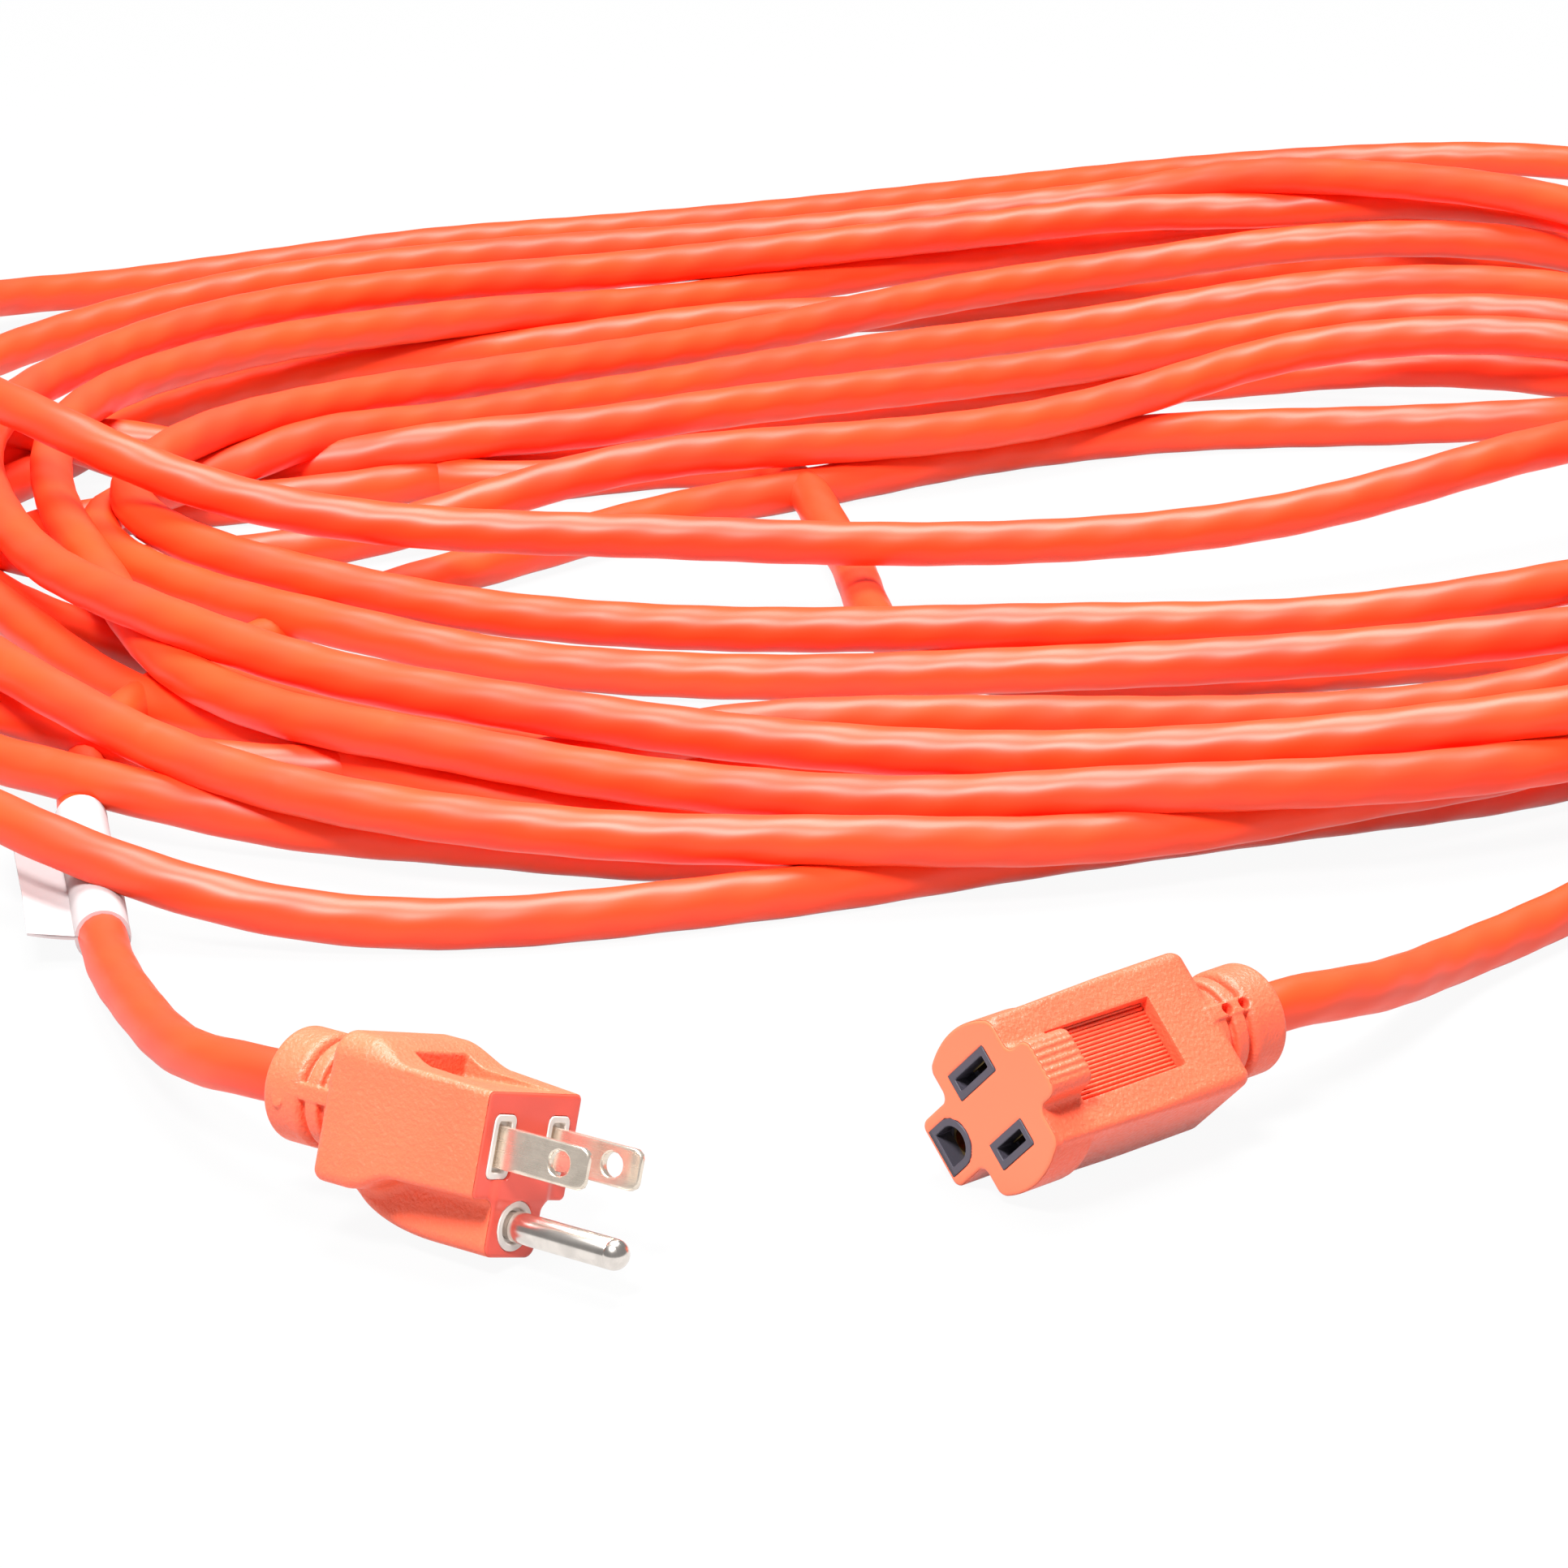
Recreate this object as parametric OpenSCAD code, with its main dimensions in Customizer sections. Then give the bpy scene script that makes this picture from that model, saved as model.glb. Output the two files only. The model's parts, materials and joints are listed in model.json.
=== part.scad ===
// Outdoor extension cord: a moulded three-pin plug, a moulded three-way connector body with one
// outlet, and one loosely coiled three-core cord between them. All lengths are in millimetres.
// The floor is z = 0. Each sub-part is its own solid in its own module.

/* [Layout] */
// Distance from the plug's face to the connector's face, left to right
ends_apart = 69.8; // [66:0.2:78]

/* [Cord] */
// Outside diameter of the jacketed cord
cord_diameter = 8.4; // [7.6:0.1:9]
// Diameter of one insulated wire inside the cord
wire_diameter = 2.9; // [2.4:0.1:3.1]
// Diameter of the stranded copper core of one wire
core_diameter = 1.5; // [1.1:0.1:1.9]
// Length of the folded paper label along the cord
label_length = 64; // [30:2:66]
// How far the label's folded flag stands out from the cord
label_flag = 12; // [8:1:16]
// Thickness of the label's paper
label_paper = 0.3; // [0.2:0.05:0.4]

/* [Coil] */
// Half of the outermost loop's length, left to right
coil_half_length = 268; // [260:2:290]
// Half of the outermost loop's depth, front to back
coil_half_depth = 300; // [290:2:320]
// How far the back of the coil leans to the right of its front
coil_slant = 88; // [60:4:100]
// Step from loop to loop along the front
front_step = 33; // [30:1:36]
// Step from loop to loop along the back
back_step = 59; // [56:1:59]
// Step from loop to loop at the left end
left_step = 14; // [13:0.5:16]
// Step from loop to loop at the right end
right_step = 24; // [20:1:28]
// Height from the lower layer's centre to the upper layer's
layer_height = 10.4; // [10.2:0.2:13]
// How far the last front loop dips out from the coil at the left
loose_loop = 60; // [40:2:64]

/* [Blades and ground pin] */
// Distance between the two flat blades' middles
blade_spacing = 12.7; // [12.4:0.1:13]
// Width of a blade
blade_width = 6.35; // [6:0.05:6.5]
// Thickness of a blade
blade_thickness = 1.52; // [1.4:0.02:1.65]
// Length of a blade from the plug's face
blade_length = 16.8; // [15.9:0.1:18.2]
// Diameter of the hole near a blade's tip
blade_hole = 3.9; // [3:0.1:4]
// Distance from the plug's face to the hole's middle
blade_hole_at = 11.7; // [11:0.1:12]
// Diameter of the round ground pin
ground_pin_diameter = 4.78; // [4.6:0.02:4.9]
// Length of the ground pin from the plug's face
ground_pin_length = 21.7; // [20:0.1:22.4]
// Distance from the blades' middle line to the ground pin's axis
ground_drop = 11.9; // [11.7:0.05:12]

/* [Plug body] */
// Length of the plug's grip body behind its face
plug_length = 31; // [30:0.5:36]
// Width of the plug's face
plug_face_width = 21.8; // [21:0.2:23]
// Width of the grip at its rear
plug_rear_width = 27.8; // [26:0.2:30]
// Height of the body above the blades' middle line at the face
plug_face_top = 8.3; // [8:0.1:9]
// Height of the grip above the blades' middle line at the rear
plug_rear_top = 12; // [11.5:0.1:13]
// Depth of the body below the blades' middle line at the face
plug_face_bottom = 8; // [7.6:0.1:8.4]
// Depth of the grip below the blades' middle line at the rear
plug_rear_bottom = 11.2; // [11:0.1:12]
// Width of the rounded lobe round the ground pin
plug_lobe_width = 11.8; // [11.4:0.2:13]
// Depth of that lobe below the blades' middle line
plug_lobe_depth = 16.8; // [16.6:0.1:18]
// Width of the finger pocket in the plug's top
pocket_width = 12.6; // [10:0.2:14]
// Distance from the face to the pocket's rear wall
pocket_reach = 19.6; // [18:0.2:22]

/* [Connector body] */
// Length of the connector body behind its face
connector_length = 41; // [39:0.5:44]
// Depth of the lobed flange at the face
flange_depth = 8.7; // [7:0.1:9.5]
// Width of the flange at its widest
flange_width = 27.2; // [26.4:0.2:29]
// Width of the body just behind the flange
connector_front_width = 22.6; // [22.2:0.2:24]
// Width of the body at its rear
connector_rear_width = 24.4; // [23.8:0.2:26]
// Height of the body above the slots' middle line
connector_top = 9.5; // [9.2:0.1:10.5]
// Depth of the body below the slots' middle line
connector_bottom = 8.2; // [8:0.1:9]
// Height of the flange's top lobe above the slots' middle line
top_lobe_height = 14.8; // [13.5:0.1:16]
// Depth of the flange's ground lobe below the slots' middle line
ground_lobe_depth = 16.3; // [16.1:0.1:17.5]
// Length of the long slot
long_slot = 8; // [7.6:0.1:8.4]
// Length of the short slot
short_slot = 6.8; // [6.7:0.1:7.1]
// Width of both slots
slot_width = 2.1; // [1.9:0.05:2.4]
// Number of grip ribs in the recess
rib_count = 17; // [9:2:19]
// Height of a grip rib
rib_height = 0.5; // [0.3:0.1:0.8]

/* [Necks] */
// Length of the ringed neck behind each body
neck_length = 15; // [14:0.5:22]
// Diameter of the neck's collar
neck_diameter = 18.2; // [17:0.2:19]
// Depth of the grooves between the neck's rings
neck_groove = 1.1; // [0.6:0.1:1.6]

/* [Fits] */
// Clearance on each side of a blade in the contact that takes it
blade_play = 0.08; // [0.05:0.01:0.15]
// Radial clearance of a ground pin in the ground contact
pin_play = 0.06; // [0.05:0.01:0.1]
// Gap between the label's paper and the cord
label_gap = 0.1; // [0.05:0.05:0.2]

/* [Hidden] */
$fn = 96;

cord_radius = cord_diameter / 2;
wire_radius = wire_diameter / 2;
core_radius = core_diameter / 2;
pin_radius = ground_pin_diameter / 2;
half_spacing = blade_spacing / 2;
over = 1;

// Where the two ends lie: the middle of each face between blades or slots, and its turn
ends_middle = -3.16;
plug_at = [ends_middle - ends_apart / 2, -23.66, 17.712];
plug_yaw = -38;
plug_pitch = -1.8;
plug_roll = -19;
plug_neck_lift = 0.5;
connector_at = [ends_middle + ends_apart / 2, -1.96, 15.076];
connector_yaw = -138;
connector_pitch = 0;
connector_roll = -45;
connector_neck_lift = 0.8;

// Small sizes that follow the ones above
corner = 2;
plug_mid = 15;
plug_slope = 9;
tall = 20;
pin_shank = pin_radius - 0.2;
pin_root = 0.5;
frame_width = 5;
frame_height = 9.8;
frame_recess = 0.8;
holder_depth = 14;
barrel_wall = 0.45;
barrel_length = 6;
blade_barrel_at = holder_depth + 2.5;
wire_ring = wire_radius / sin(60) + 0.35;
carrier_depth = 24;
entry_depth = 3;
contact_sheet = 0.5;
contact_length = 16;
contact_width = 5.6;
rim_wall = 1.2;
ground_hole = pin_radius + 0.46;
ground_flat = pin_radius + 0.15;
contact_barrel_at = carrier_depth + 1.5;
ground_shorter = 6;
ground_reach = contact_length - ground_shorter;
ground_barrel_at = entry_depth + ground_reach;
lobe_flat = ground_barrel_at + 5;
lobe_end = connector_length - 8;
plug_full = plug_length + neck_length;
connector_full = connector_length + neck_length;

// ---- placing ----
function turned(p, yaw, pitch, roll) =
    let (y = p[1] * cos(roll) - p[2] * sin(roll))
    let (w = p[1] * sin(roll) + p[2] * cos(roll))
    let (x = p[0] * cos(pitch) + w * sin(pitch))
    let (z = w * cos(pitch) - p[0] * sin(pitch))
    [x * cos(yaw) - y * sin(yaw), x * sin(yaw) + y * cos(yaw), z];
function plug_turned(p) = turned(p, plug_yaw, plug_pitch, plug_roll);
function plug_point(p) = plug_at + plug_turned(p);
function connector_turned(p) = turned(p, connector_yaw, connector_pitch, connector_roll);
function connector_point(p) = connector_at + connector_turned(p);

module place_plug() {
    translate(plug_at) rotate([0, plug_pitch, plug_yaw]) rotate([plug_roll, 0, 0]) children();
}

module place_connector() {
    translate(connector_at) rotate([0, connector_pitch, connector_yaw]) rotate([connector_roll, 0, 0]) children();
}

// ---- shared shapes ----
// A shape drawn across the body, pushed from x = from to x = to
module across(from, to) {
    translate([from, 0, 0]) rotate([90, 0, 90]) linear_extrude(to - from) children();
}

// A shape drawn as a side view, pushed out to both sides
module sideways(width) {
    rotate([90, 0, 0]) linear_extrude(width, center = true) children();
}

module rounded(width, height, radius) {
    square([width - 2 * radius, height], center = true);
    square([width, height - 2 * radius], center = true);
    for (x = [-1, 1]) {
        for (y = [-1, 1]) {
            translate([x * (width / 2 - radius), y * (height / 2 - radius)]) circle(radius);
        }
    }
}

// The hollow corner between a wall and a lobe
module fillet(radius) {
    difference() {
        translate([-0.3, -0.3]) square(radius + 0.3);
        translate([radius, radius]) circle(radius);
    }
}

function s_curve(u) = (1 - cos(180 * u)) / 2;
function slope_points(x0, x1, z0, z1, n) =
    [for (i = [0 : n]) [x0 + (x1 - x0) * i / n, z0 + (z1 - z0) * s_curve(i / n)]];
function quarter(x, z, radius, from, n) =
    [for (i = [0 : n]) [x + radius * cos(from + 90 * i / n), z + radius * sin(from + 90 * i / n)]];

// The ringed neck: its axis is x, it reaches from x = -start back to x = -start - neck_length
module neck(start, lift) {
    r = neck_diameter / 2;
    inner = r - neck_groove - 0.4;
    collar = neck_length * 0.5;
    ring = neck_length * 0.17;
    groove = neck_length * 0.07;
    edge = 1.6;
    translate([-start - neck_length, 0, lift]) rotate([0, 90, 0]) rotate_extrude() {
        square([r - edge, edge + over]);
        translate([0, edge]) square([r, collar - edge]);
        translate([r - edge, edge]) circle(edge);
        square([inner, neck_length + 0.5]);
        translate([0, collar + groove]) square([r - 0.4, ring]);
        translate([0, collar + 2 * groove + ring]) square([r - 0.7, neck_length + 0.5 - collar - 2 * groove - ring]);
    }
}

// A small bar that bridges the neck's grooves, on the side that angle points to
module neck_bridge(start, lift, angle) {
    bar = neck_length * 0.46;
    translate([-start, 0, lift]) rotate([angle, 0, 0]) {
        translate([-bar, neck_diameter / 2 - 3.4, -1.4]) cube([bar + 0.5, 3, 2.8]);
    }
}

// ---- tubes swept along a route ----
function unit(v) = v / norm(v);
function ring(p, way, radius, sides) =
    let (side = unit(cross(way, [0, 0, 1])))
    let (up = cross(side, way))
    [for (i = [0 : sides - 1]) p + radius * (cos(360 * i / sides) * side + sin(360 * i / sides) * up)];

// The way the route runs at each of its points; its first two and last two run straight
function route_ways(route, first, last) =
    let (n = len(route))
    [for (i = [0 : n - 1])
        i < 2 ? first
        : i > n - 3 ? last
        : unit(route[i + 1] - route[i - 1])];

module tube(route, ways, radius, sides) {
    n = len(route);
    last = (n - 1) * sides;
    points = [for (i = [0 : n - 1]) each ring(route[i], ways[i], radius, sides)];
    walls = [for (i = [0 : n - 2]) for (j = [0 : sides - 1])
        let (a = i * sides + j)
        let (b = i * sides + (j + 1) % sides)
        each [[a, b, b + sides], [a, b + sides, a + sides]]];
    near_cap = [for (j = [1 : sides - 2]) [0, j + 1, j]];
    far_cap = [for (j = [1 : sides - 2]) [last, last + j, last + j + 1]];
    polyhedron(points, concat(walls, near_cap, far_cap));
}

// ---- the wires inside one end ----
wire_sides = 10;
core_sides = 8;
wire_rings = 8;
wire_straight = 6;
ground_straight = 0.35;

// A wire leaves the cord's end at its own place in the ring of three, runs straight for a while,
// then sweeps over to its barrel
function wire_route(angle, full, lift, straight, barrel_at, side, drop) =
    let (s = [-full, wire_ring * cos(angle), lift + wire_ring * sin(angle)])
    let (e = [-barrel_at - barrel_length, side, -drop])
    let (from = s[0] + straight)
    let (to = e[0] - 2)
    concat([s, [s[0] + straight / 2, s[1], s[2]]],
           [for (i = [0 : wire_rings]) let (u = i / wire_rings)
               [from + (to - from) * u, s[1] + (e[1] - s[1]) * s_curve(u), s[2] + (e[2] - s[2]) * s_curve(u)]],
           [[e[0] - 1, e[1], e[2]], e]);

plug_line_route = wire_route(150, plug_full, plug_neck_lift, wire_straight, blade_barrel_at, -half_spacing, 0);
plug_neutral_route = wire_route(30, plug_full, plug_neck_lift, wire_straight, blade_barrel_at, half_spacing, 0);
plug_ground_route = wire_route(270, plug_full, plug_neck_lift, ground_straight * plug_full, holder_depth, 0,
                               ground_drop);
connector_line_route = wire_route(30, connector_full, connector_neck_lift, wire_straight, contact_barrel_at, half_spacing, 0);
connector_neutral_route = wire_route(150, connector_full, connector_neck_lift, wire_straight, contact_barrel_at, -half_spacing, 0);
connector_ground_route = wire_route(270, connector_full, connector_neck_lift, ground_straight * connector_full,
                                    ground_barrel_at, 0, ground_drop);

module wire_tube(route, radius, sides) {
    tube(route, route_ways(route, [1, 0, 0], [1, 0, 0]), radius, sides);
}

// The core runs on into its crimp barrel
function core_route(route) = concat(route, [route[len(route) - 1] + [barrel_length - 0.5, 0, 0]]);

module insulated_wire(route) {
    color("#2c2c2e") difference() {
        wire_tube(route, wire_radius, wire_sides);
        wire_tube(concat([route[0] - [over, 0, 0]], core_route(route)), core_radius, core_sides);
    }
}

module wire_core(route) {
    color("#b87333") wire_tube(core_route(route), core_radius, core_sides);
}

// A crimp barrel that ends at x = -at, with its bore tied to the core
module barrel(at) {
    translate([-at - barrel_length, 0, 0]) rotate([0, 90, 0]) cylinder(h = barrel_length, r = core_radius + barrel_wall);
}

module barrel_bore(at) {
    translate([-at - barrel_length - over, 0, 0]) rotate([0, 90, 0]) {
        cylinder(h = barrel_length - 0.5 + over, r = core_radius);
    }
}

// ---- plug ----
module blade_sheet() {
    tip = 1.3;
    neck_width = 3;
    difference() {
        union() {
            translate([-holder_depth, -blade_width / 2]) square([holder_depth + blade_length - tip, blade_width]);
            translate([0, -blade_width / 2 + tip]) square([blade_length, blade_width - 2 * tip]);
            for (y = [-1, 1]) {
                translate([blade_length - tip, y * (blade_width / 2 - tip)]) circle(tip);
            }
            translate([-blade_barrel_at - 0.4, -neck_width / 2]) square([blade_barrel_at, neck_width]);
        }
        translate([blade_hole_at, 0]) circle(blade_hole / 2);
    }
}

module blade() {
    bevel = 0.45;
    difference() {
        union() {
            rotate([90, 0, 0]) linear_extrude(blade_thickness, center = true) blade_sheet();
            barrel(blade_barrel_at);
        }
        barrel_bore(blade_barrel_at);
        for (y = [-1, 1]) {
            translate([blade_length, y * blade_thickness / 2, 0]) rotate([0, 0, y * 20]) {
                translate([0, y * 0.2, 0]) cube([3, bevel * 2, blade_width + over], center = true);
            }
        }
    }
}

module line_blade() {
    color("#b9ad9c") place_plug() translate([0, -half_spacing, 0]) blade();
}

module neutral_blade() {
    color("#b9ad9c") place_plug() translate([0, half_spacing, 0]) blade();
}

module ground_pin() {
    hollow = pin_radius - 0.9;
    straight = ground_pin_length - pin_radius;
    color("#b9ad9c") place_plug() translate([0, 0, -ground_drop]) difference() {
        union() {
            translate([-holder_depth, 0, 0]) rotate([0, 90, 0]) cylinder(h = holder_depth + over, r = pin_shank);
            translate([pin_root, 0, 0]) rotate([0, 90, 0]) cylinder(h = straight - pin_root, r = pin_radius);
            translate([straight, 0, 0]) sphere(pin_radius);
            barrel(holder_depth);
        }
        barrel_bore(holder_depth);
        translate([-holder_depth + 1, 0, 0]) rotate([0, 90, 0]) {
            cylinder(h = holder_depth + straight - 2.5, r = hollow);
        }
        translate([over, -0.15, -pin_radius - over]) cube([straight - over, 0.3, over + 1.2]);
    }
}

// The cream block that holds the blades and the pin: two frames, a ring and a bridge behind
module holder_block() {
    for (y = [-1, 1]) {
        translate([0, y * half_spacing, 0]) across(-holder_depth, 0) rounded(frame_width, frame_height, 1.1);
    }
    translate([-holder_depth, 0, -ground_drop]) rotate([0, 90, 0]) cylinder(h = holder_depth, r = pin_radius + 1.5);
    translate([-holder_depth, -half_spacing, -3.5]) cube([5, blade_spacing, 7]);
    translate([-holder_depth, -2.2, -ground_drop]) cube([5, 4.4, ground_drop]);
}

module plug_blade_holder() {
    color("#eadfda") place_plug() difference() {
        holder_block();
        for (y = [-1, 1]) {
            translate([-holder_depth / 2, y * half_spacing, 0]) {
                cube([holder_depth + 2 * over, blade_thickness, blade_width], center = true);
            }
            translate([-frame_recess, y * half_spacing, 0]) {
                across(0, frame_recess + over) rounded(blade_thickness + 1.4, blade_width + 1.2, 0.5);
            }
        }
        translate([-holder_depth - over, 0, -ground_drop]) rotate([0, 90, 0]) {
            cylinder(h = holder_depth + 2 * over, r = pin_shank);
        }
    }
}

module plug_side() {
    polygon(concat(
        [[0, -plug_face_bottom], [0, plug_face_top]],
        slope_points(-plug_mid, -plug_mid - plug_slope, plug_face_top + 0.6, plug_rear_top, 10),
        quarter(-plug_length + corner, plug_rear_top - corner, corner, 90, 6),
        quarter(-plug_length + corner, -plug_rear_bottom + corner, corner, 180, 6),
        slope_points(-plug_mid - plug_slope + 1, -plug_mid, -plug_rear_bottom, -plug_face_bottom - 0.2, 10)
    ));
}

module plug_top_view() {
    front = plug_face_width / 2;
    rear = plug_rear_width / 2;
    polygon(concat(
        [[0, front]],
        [[-plug_length + 8, rear]],
        quarter(-plug_length + corner, rear - corner, corner, 90, 6),
        quarter(-plug_length + corner, -rear + corner, corner, 180, 6),
        [[-plug_length + 8, -rear]],
        [[0, -front]]
    ));
}

// The plug's outline seen from its face: high round shoulders, small lower corners
module plug_section() {
    shoulder = 4.5;
    half = plug_rear_width / 2;
    translate([-half, -plug_rear_bottom + corner]) {
        square([2 * half, plug_rear_top + plug_rear_bottom - corner - shoulder]);
    }
    translate([-half + corner, -plug_rear_bottom]) square([2 * (half - corner), plug_rear_bottom]);
    translate([-half + shoulder, 0]) square([2 * (half - shoulder), plug_rear_top]);
    for (y = [-1, 1]) {
        translate([y * (half - corner), -plug_rear_bottom + corner]) circle(corner);
        translate([y * (half - shoulder), plug_rear_top - shoulder]) circle(shoulder);
    }
}

lobe_curve = [for (i = [0 : 10]) [-11 - 17 * sin(9 * i), -plug_lobe_depth + 6.5 * (1 - cos(9 * i))]];

module plug_lobe() {
    intersection() {
        sideways(plug_lobe_width + 2 * corner) {
            polygon(concat([[0, -plug_face_bottom + over], [0, -plug_lobe_depth]], lobe_curve, [[-28, -6]]));
        }
        across(-plug_length, 0) {
            translate([0, -plug_lobe_depth / 2 - 2]) rounded(plug_lobe_width, plug_lobe_depth - 4, corner);
            for (y = [0, 1]) {
                mirror([y, 0]) translate([plug_lobe_width / 2, -plug_face_bottom]) mirror([0, 1]) fillet(corner);
            }
        }
    }
}

module finger_pocket() {
    sideways(pocket_width) {
        polygon([[-pocket_reach, plug_face_top - 0.9], [-3.5, plug_face_top + 0.2],
                 [-3.5, plug_rear_top + over], [-pocket_reach, plug_rear_top + over]]);
    }
}

module front_chamfers() {
    flare = atan2((plug_rear_width - plug_face_width) / 2, plug_length - 8);
    for (y = [-1, 1]) {
        for (z = [plug_face_top + 0.3, -plug_face_bottom - 0.1]) {
            translate([0, y * plug_face_width / 2, z]) rotate([0, 0, -y * flare]) rotate([45, 0, 0]) {
                cube([2 * (plug_mid - 1), 1.7, 1.7], center = true);
            }
        }
    }
}

module plug_body() {
    color("#ff5a32") place_plug() difference() {
        union() {
            intersection() {
                sideways(plug_rear_width + over) plug_side();
                linear_extrude(2 * tall, center = true) plug_top_view();
                across(-plug_length, 0) plug_section();
            }
            plug_lobe();
            neck(plug_length, plug_neck_lift);
            neck_bridge(plug_length, plug_neck_lift, 0);
            neck_bridge(plug_length, plug_neck_lift, 180);
        }
        front_chamfers();
        finger_pocket();
        holder_block();
        for (route = [plug_line_route, plug_neutral_route, plug_ground_route]) {
            wire_tube(route, wire_radius, wire_sides);
        }
        for (y = [-1, 1]) {
            translate([0, y * half_spacing, 0]) barrel(blade_barrel_at);
            translate([-holder_depth - 1.5, y * half_spacing, 0]) cube([4, blade_thickness, 3], center = true);
        }
        translate([0, 0, -ground_drop]) barrel(holder_depth);
    }
}

// ---- connector ----
module flange_outline() {
    flank = 16;
    reach = flank - flange_width / 2;
    intersection() {
        translate([-reach, 0]) circle(flank);
        translate([reach, 0]) circle(flank);
        translate([-flange_width, -connector_bottom]) square([2 * flange_width, connector_bottom + connector_top]);
    }
    translate([0, -ground_lobe_depth / 2]) rounded(11.8, ground_lobe_depth, 1.5);
    translate([0, top_lobe_height / 2]) rounded(9.8, top_lobe_height, 2.4);
    for (y = [0, 1]) {
        mirror([y, 0]) {
            translate([5.9, -connector_bottom]) mirror([0, 1]) fillet(1.6);
            translate([4.9, connector_top]) fillet(1.6);
        }
    }
}

module connector_side() {
    polygon(concat(
        [[0, -connector_bottom], [0, connector_top]],
        quarter(-connector_length + 2.5, connector_top - 2.5, 2.5, 90, 6),
        quarter(-connector_length + 5, -connector_bottom + 5, 5, 180, 8)
    ));
}

module connector_top_view() {
    front = connector_front_width / 2;
    rear = connector_rear_width / 2;
    polygon(concat(
        [[0, front]],
        [[-connector_length + 8, rear]],
        quarter(-connector_length + 3.5, rear - 3.5, 3.5, 90, 8),
        quarter(-connector_length + 3.5, -rear + 3.5, 3.5, 180, 8),
        [[-connector_length + 8, -rear]],
        [[0, -front]]
    ));
}

module connector_lobe() {
    depth = ground_lobe_depth - 0.5;
    intersection() {
        sideways(tall) polygon(concat(
            [[0, 0], [0, -depth], [-lobe_flat, -depth]],
            slope_points(-lobe_flat, -lobe_end, -depth, -connector_bottom + 0.5, 12),
            [[-lobe_end, 0]]
        ));
        across(-connector_length, 0) translate([0, -depth / 2]) rounded(11, depth, 2.5);
    }
}

module grip_recess() {
    reach = connector_length - 9.8;
    difference() {
        sideways(12.2) polygon([[-reach, connector_top - 2.2], [-flange_depth, connector_top - 1.2],
                                [-flange_depth, connector_top + over], [-reach, connector_top + over]]);
        for (i = [0 : rib_count - 1]) {
            y = (i - (rib_count - 1) / 2) * 12.2 / rib_count;
            translate([0, y, 0]) sideways(12.2 / rib_count / 2) {
                polygon([[-reach - over, connector_top - 4], [-flange_depth + over, connector_top - 4],
                         [-flange_depth + over, connector_top - 1.2 + rib_height],
                         [-reach - over, connector_top - 2.2 + rib_height]]);
            }
        }
    }
}

// The D-shaped way in for the ground pin: round towards the slots, flat away from them
module ground_shape(grow) {
    circle(ground_hole + grow);
    translate([-ground_hole - grow, -ground_flat - grow]) square([2 * (ground_hole + grow), ground_flat + grow]);
}

module carrier_block() {
    across(-carrier_depth, 0) {
        translate([-half_spacing, 0]) square([slot_width + 2 * rim_wall, long_slot + 2 * rim_wall], center = true);
        translate([half_spacing, 0]) square([slot_width + 2 * rim_wall, short_slot + 2 * rim_wall], center = true);
    }
    across(-entry_depth - 4, 0) translate([0, -ground_drop]) intersection() {
        ground_shape(rim_wall);
        translate([-10, -ground_flat - rim_wall]) square(20);
    }
    translate([-ground_barrel_at - 1, 0, -ground_drop]) rotate([0, 90, 0]) {
        cylinder(h = ground_barrel_at, r = pin_radius + pin_play + contact_sheet + 0.4);
    }
    across(-carrier_depth, -entry_depth) {
        translate([0, 0.4]) square([blade_spacing + slot_width + 2 * rim_wall, 10], center = true);
    }
    across(-ground_barrel_at - 1, -entry_depth) translate([-3, -ground_drop]) square([6, ground_drop]);
}

module contact_room() {
    across(-carrier_depth - over, -entry_depth) {
        square([blade_thickness + 2 * (blade_play + contact_sheet), contact_width], center = true);
    }
}

module contact_carrier() {
    color("#3d3a42") place_connector() difference() {
        carrier_block();
        translate([0, -half_spacing, 0]) {
            across(-entry_depth - over, over) square([slot_width, long_slot], center = true);
            contact_room();
        }
        translate([0, half_spacing, 0]) {
            across(-entry_depth - over, over) square([slot_width, short_slot], center = true);
            contact_room();
        }
        translate([0, 0, -ground_drop]) {
            across(-entry_depth, over) intersection() {
                ground_shape(0);
                translate([-10, -ground_flat]) square(20);
            }
            translate([-ground_barrel_at, 0, 0]) rotate([0, 90, 0]) {
                cylinder(h = ground_reach, r = pin_radius + pin_play + contact_sheet);
            }
            barrel(ground_barrel_at);
        }
    }
}

// Two leaves joined at the rear, with a crimp barrel behind
module slot_contact() {
    gap = blade_thickness / 2 + blade_play;
    difference() {
        union() {
            for (y = [-1, 1]) {
                translate([-entry_depth - contact_length, y * (gap + contact_sheet / 2) - contact_sheet / 2, -contact_width / 2]) {
                    cube([contact_length, contact_sheet, contact_width]);
                }
            }
            translate([-carrier_depth, -gap, -contact_width / 2]) {
                cube([carrier_depth - entry_depth - contact_length + 0.5, 2 * gap, contact_width]);
            }
            translate([-contact_barrel_at - 0.5, -blade_thickness / 2, -1]) cube([3, blade_thickness, 2]);
            barrel(contact_barrel_at);
        }
        barrel_bore(contact_barrel_at);
    }
}

module line_contact() {
    color("#c9a24a") place_connector() translate([0, half_spacing, 0]) slot_contact();
}

module neutral_contact() {
    color("#c9a24a") place_connector() translate([0, -half_spacing, 0]) slot_contact();
}

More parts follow.
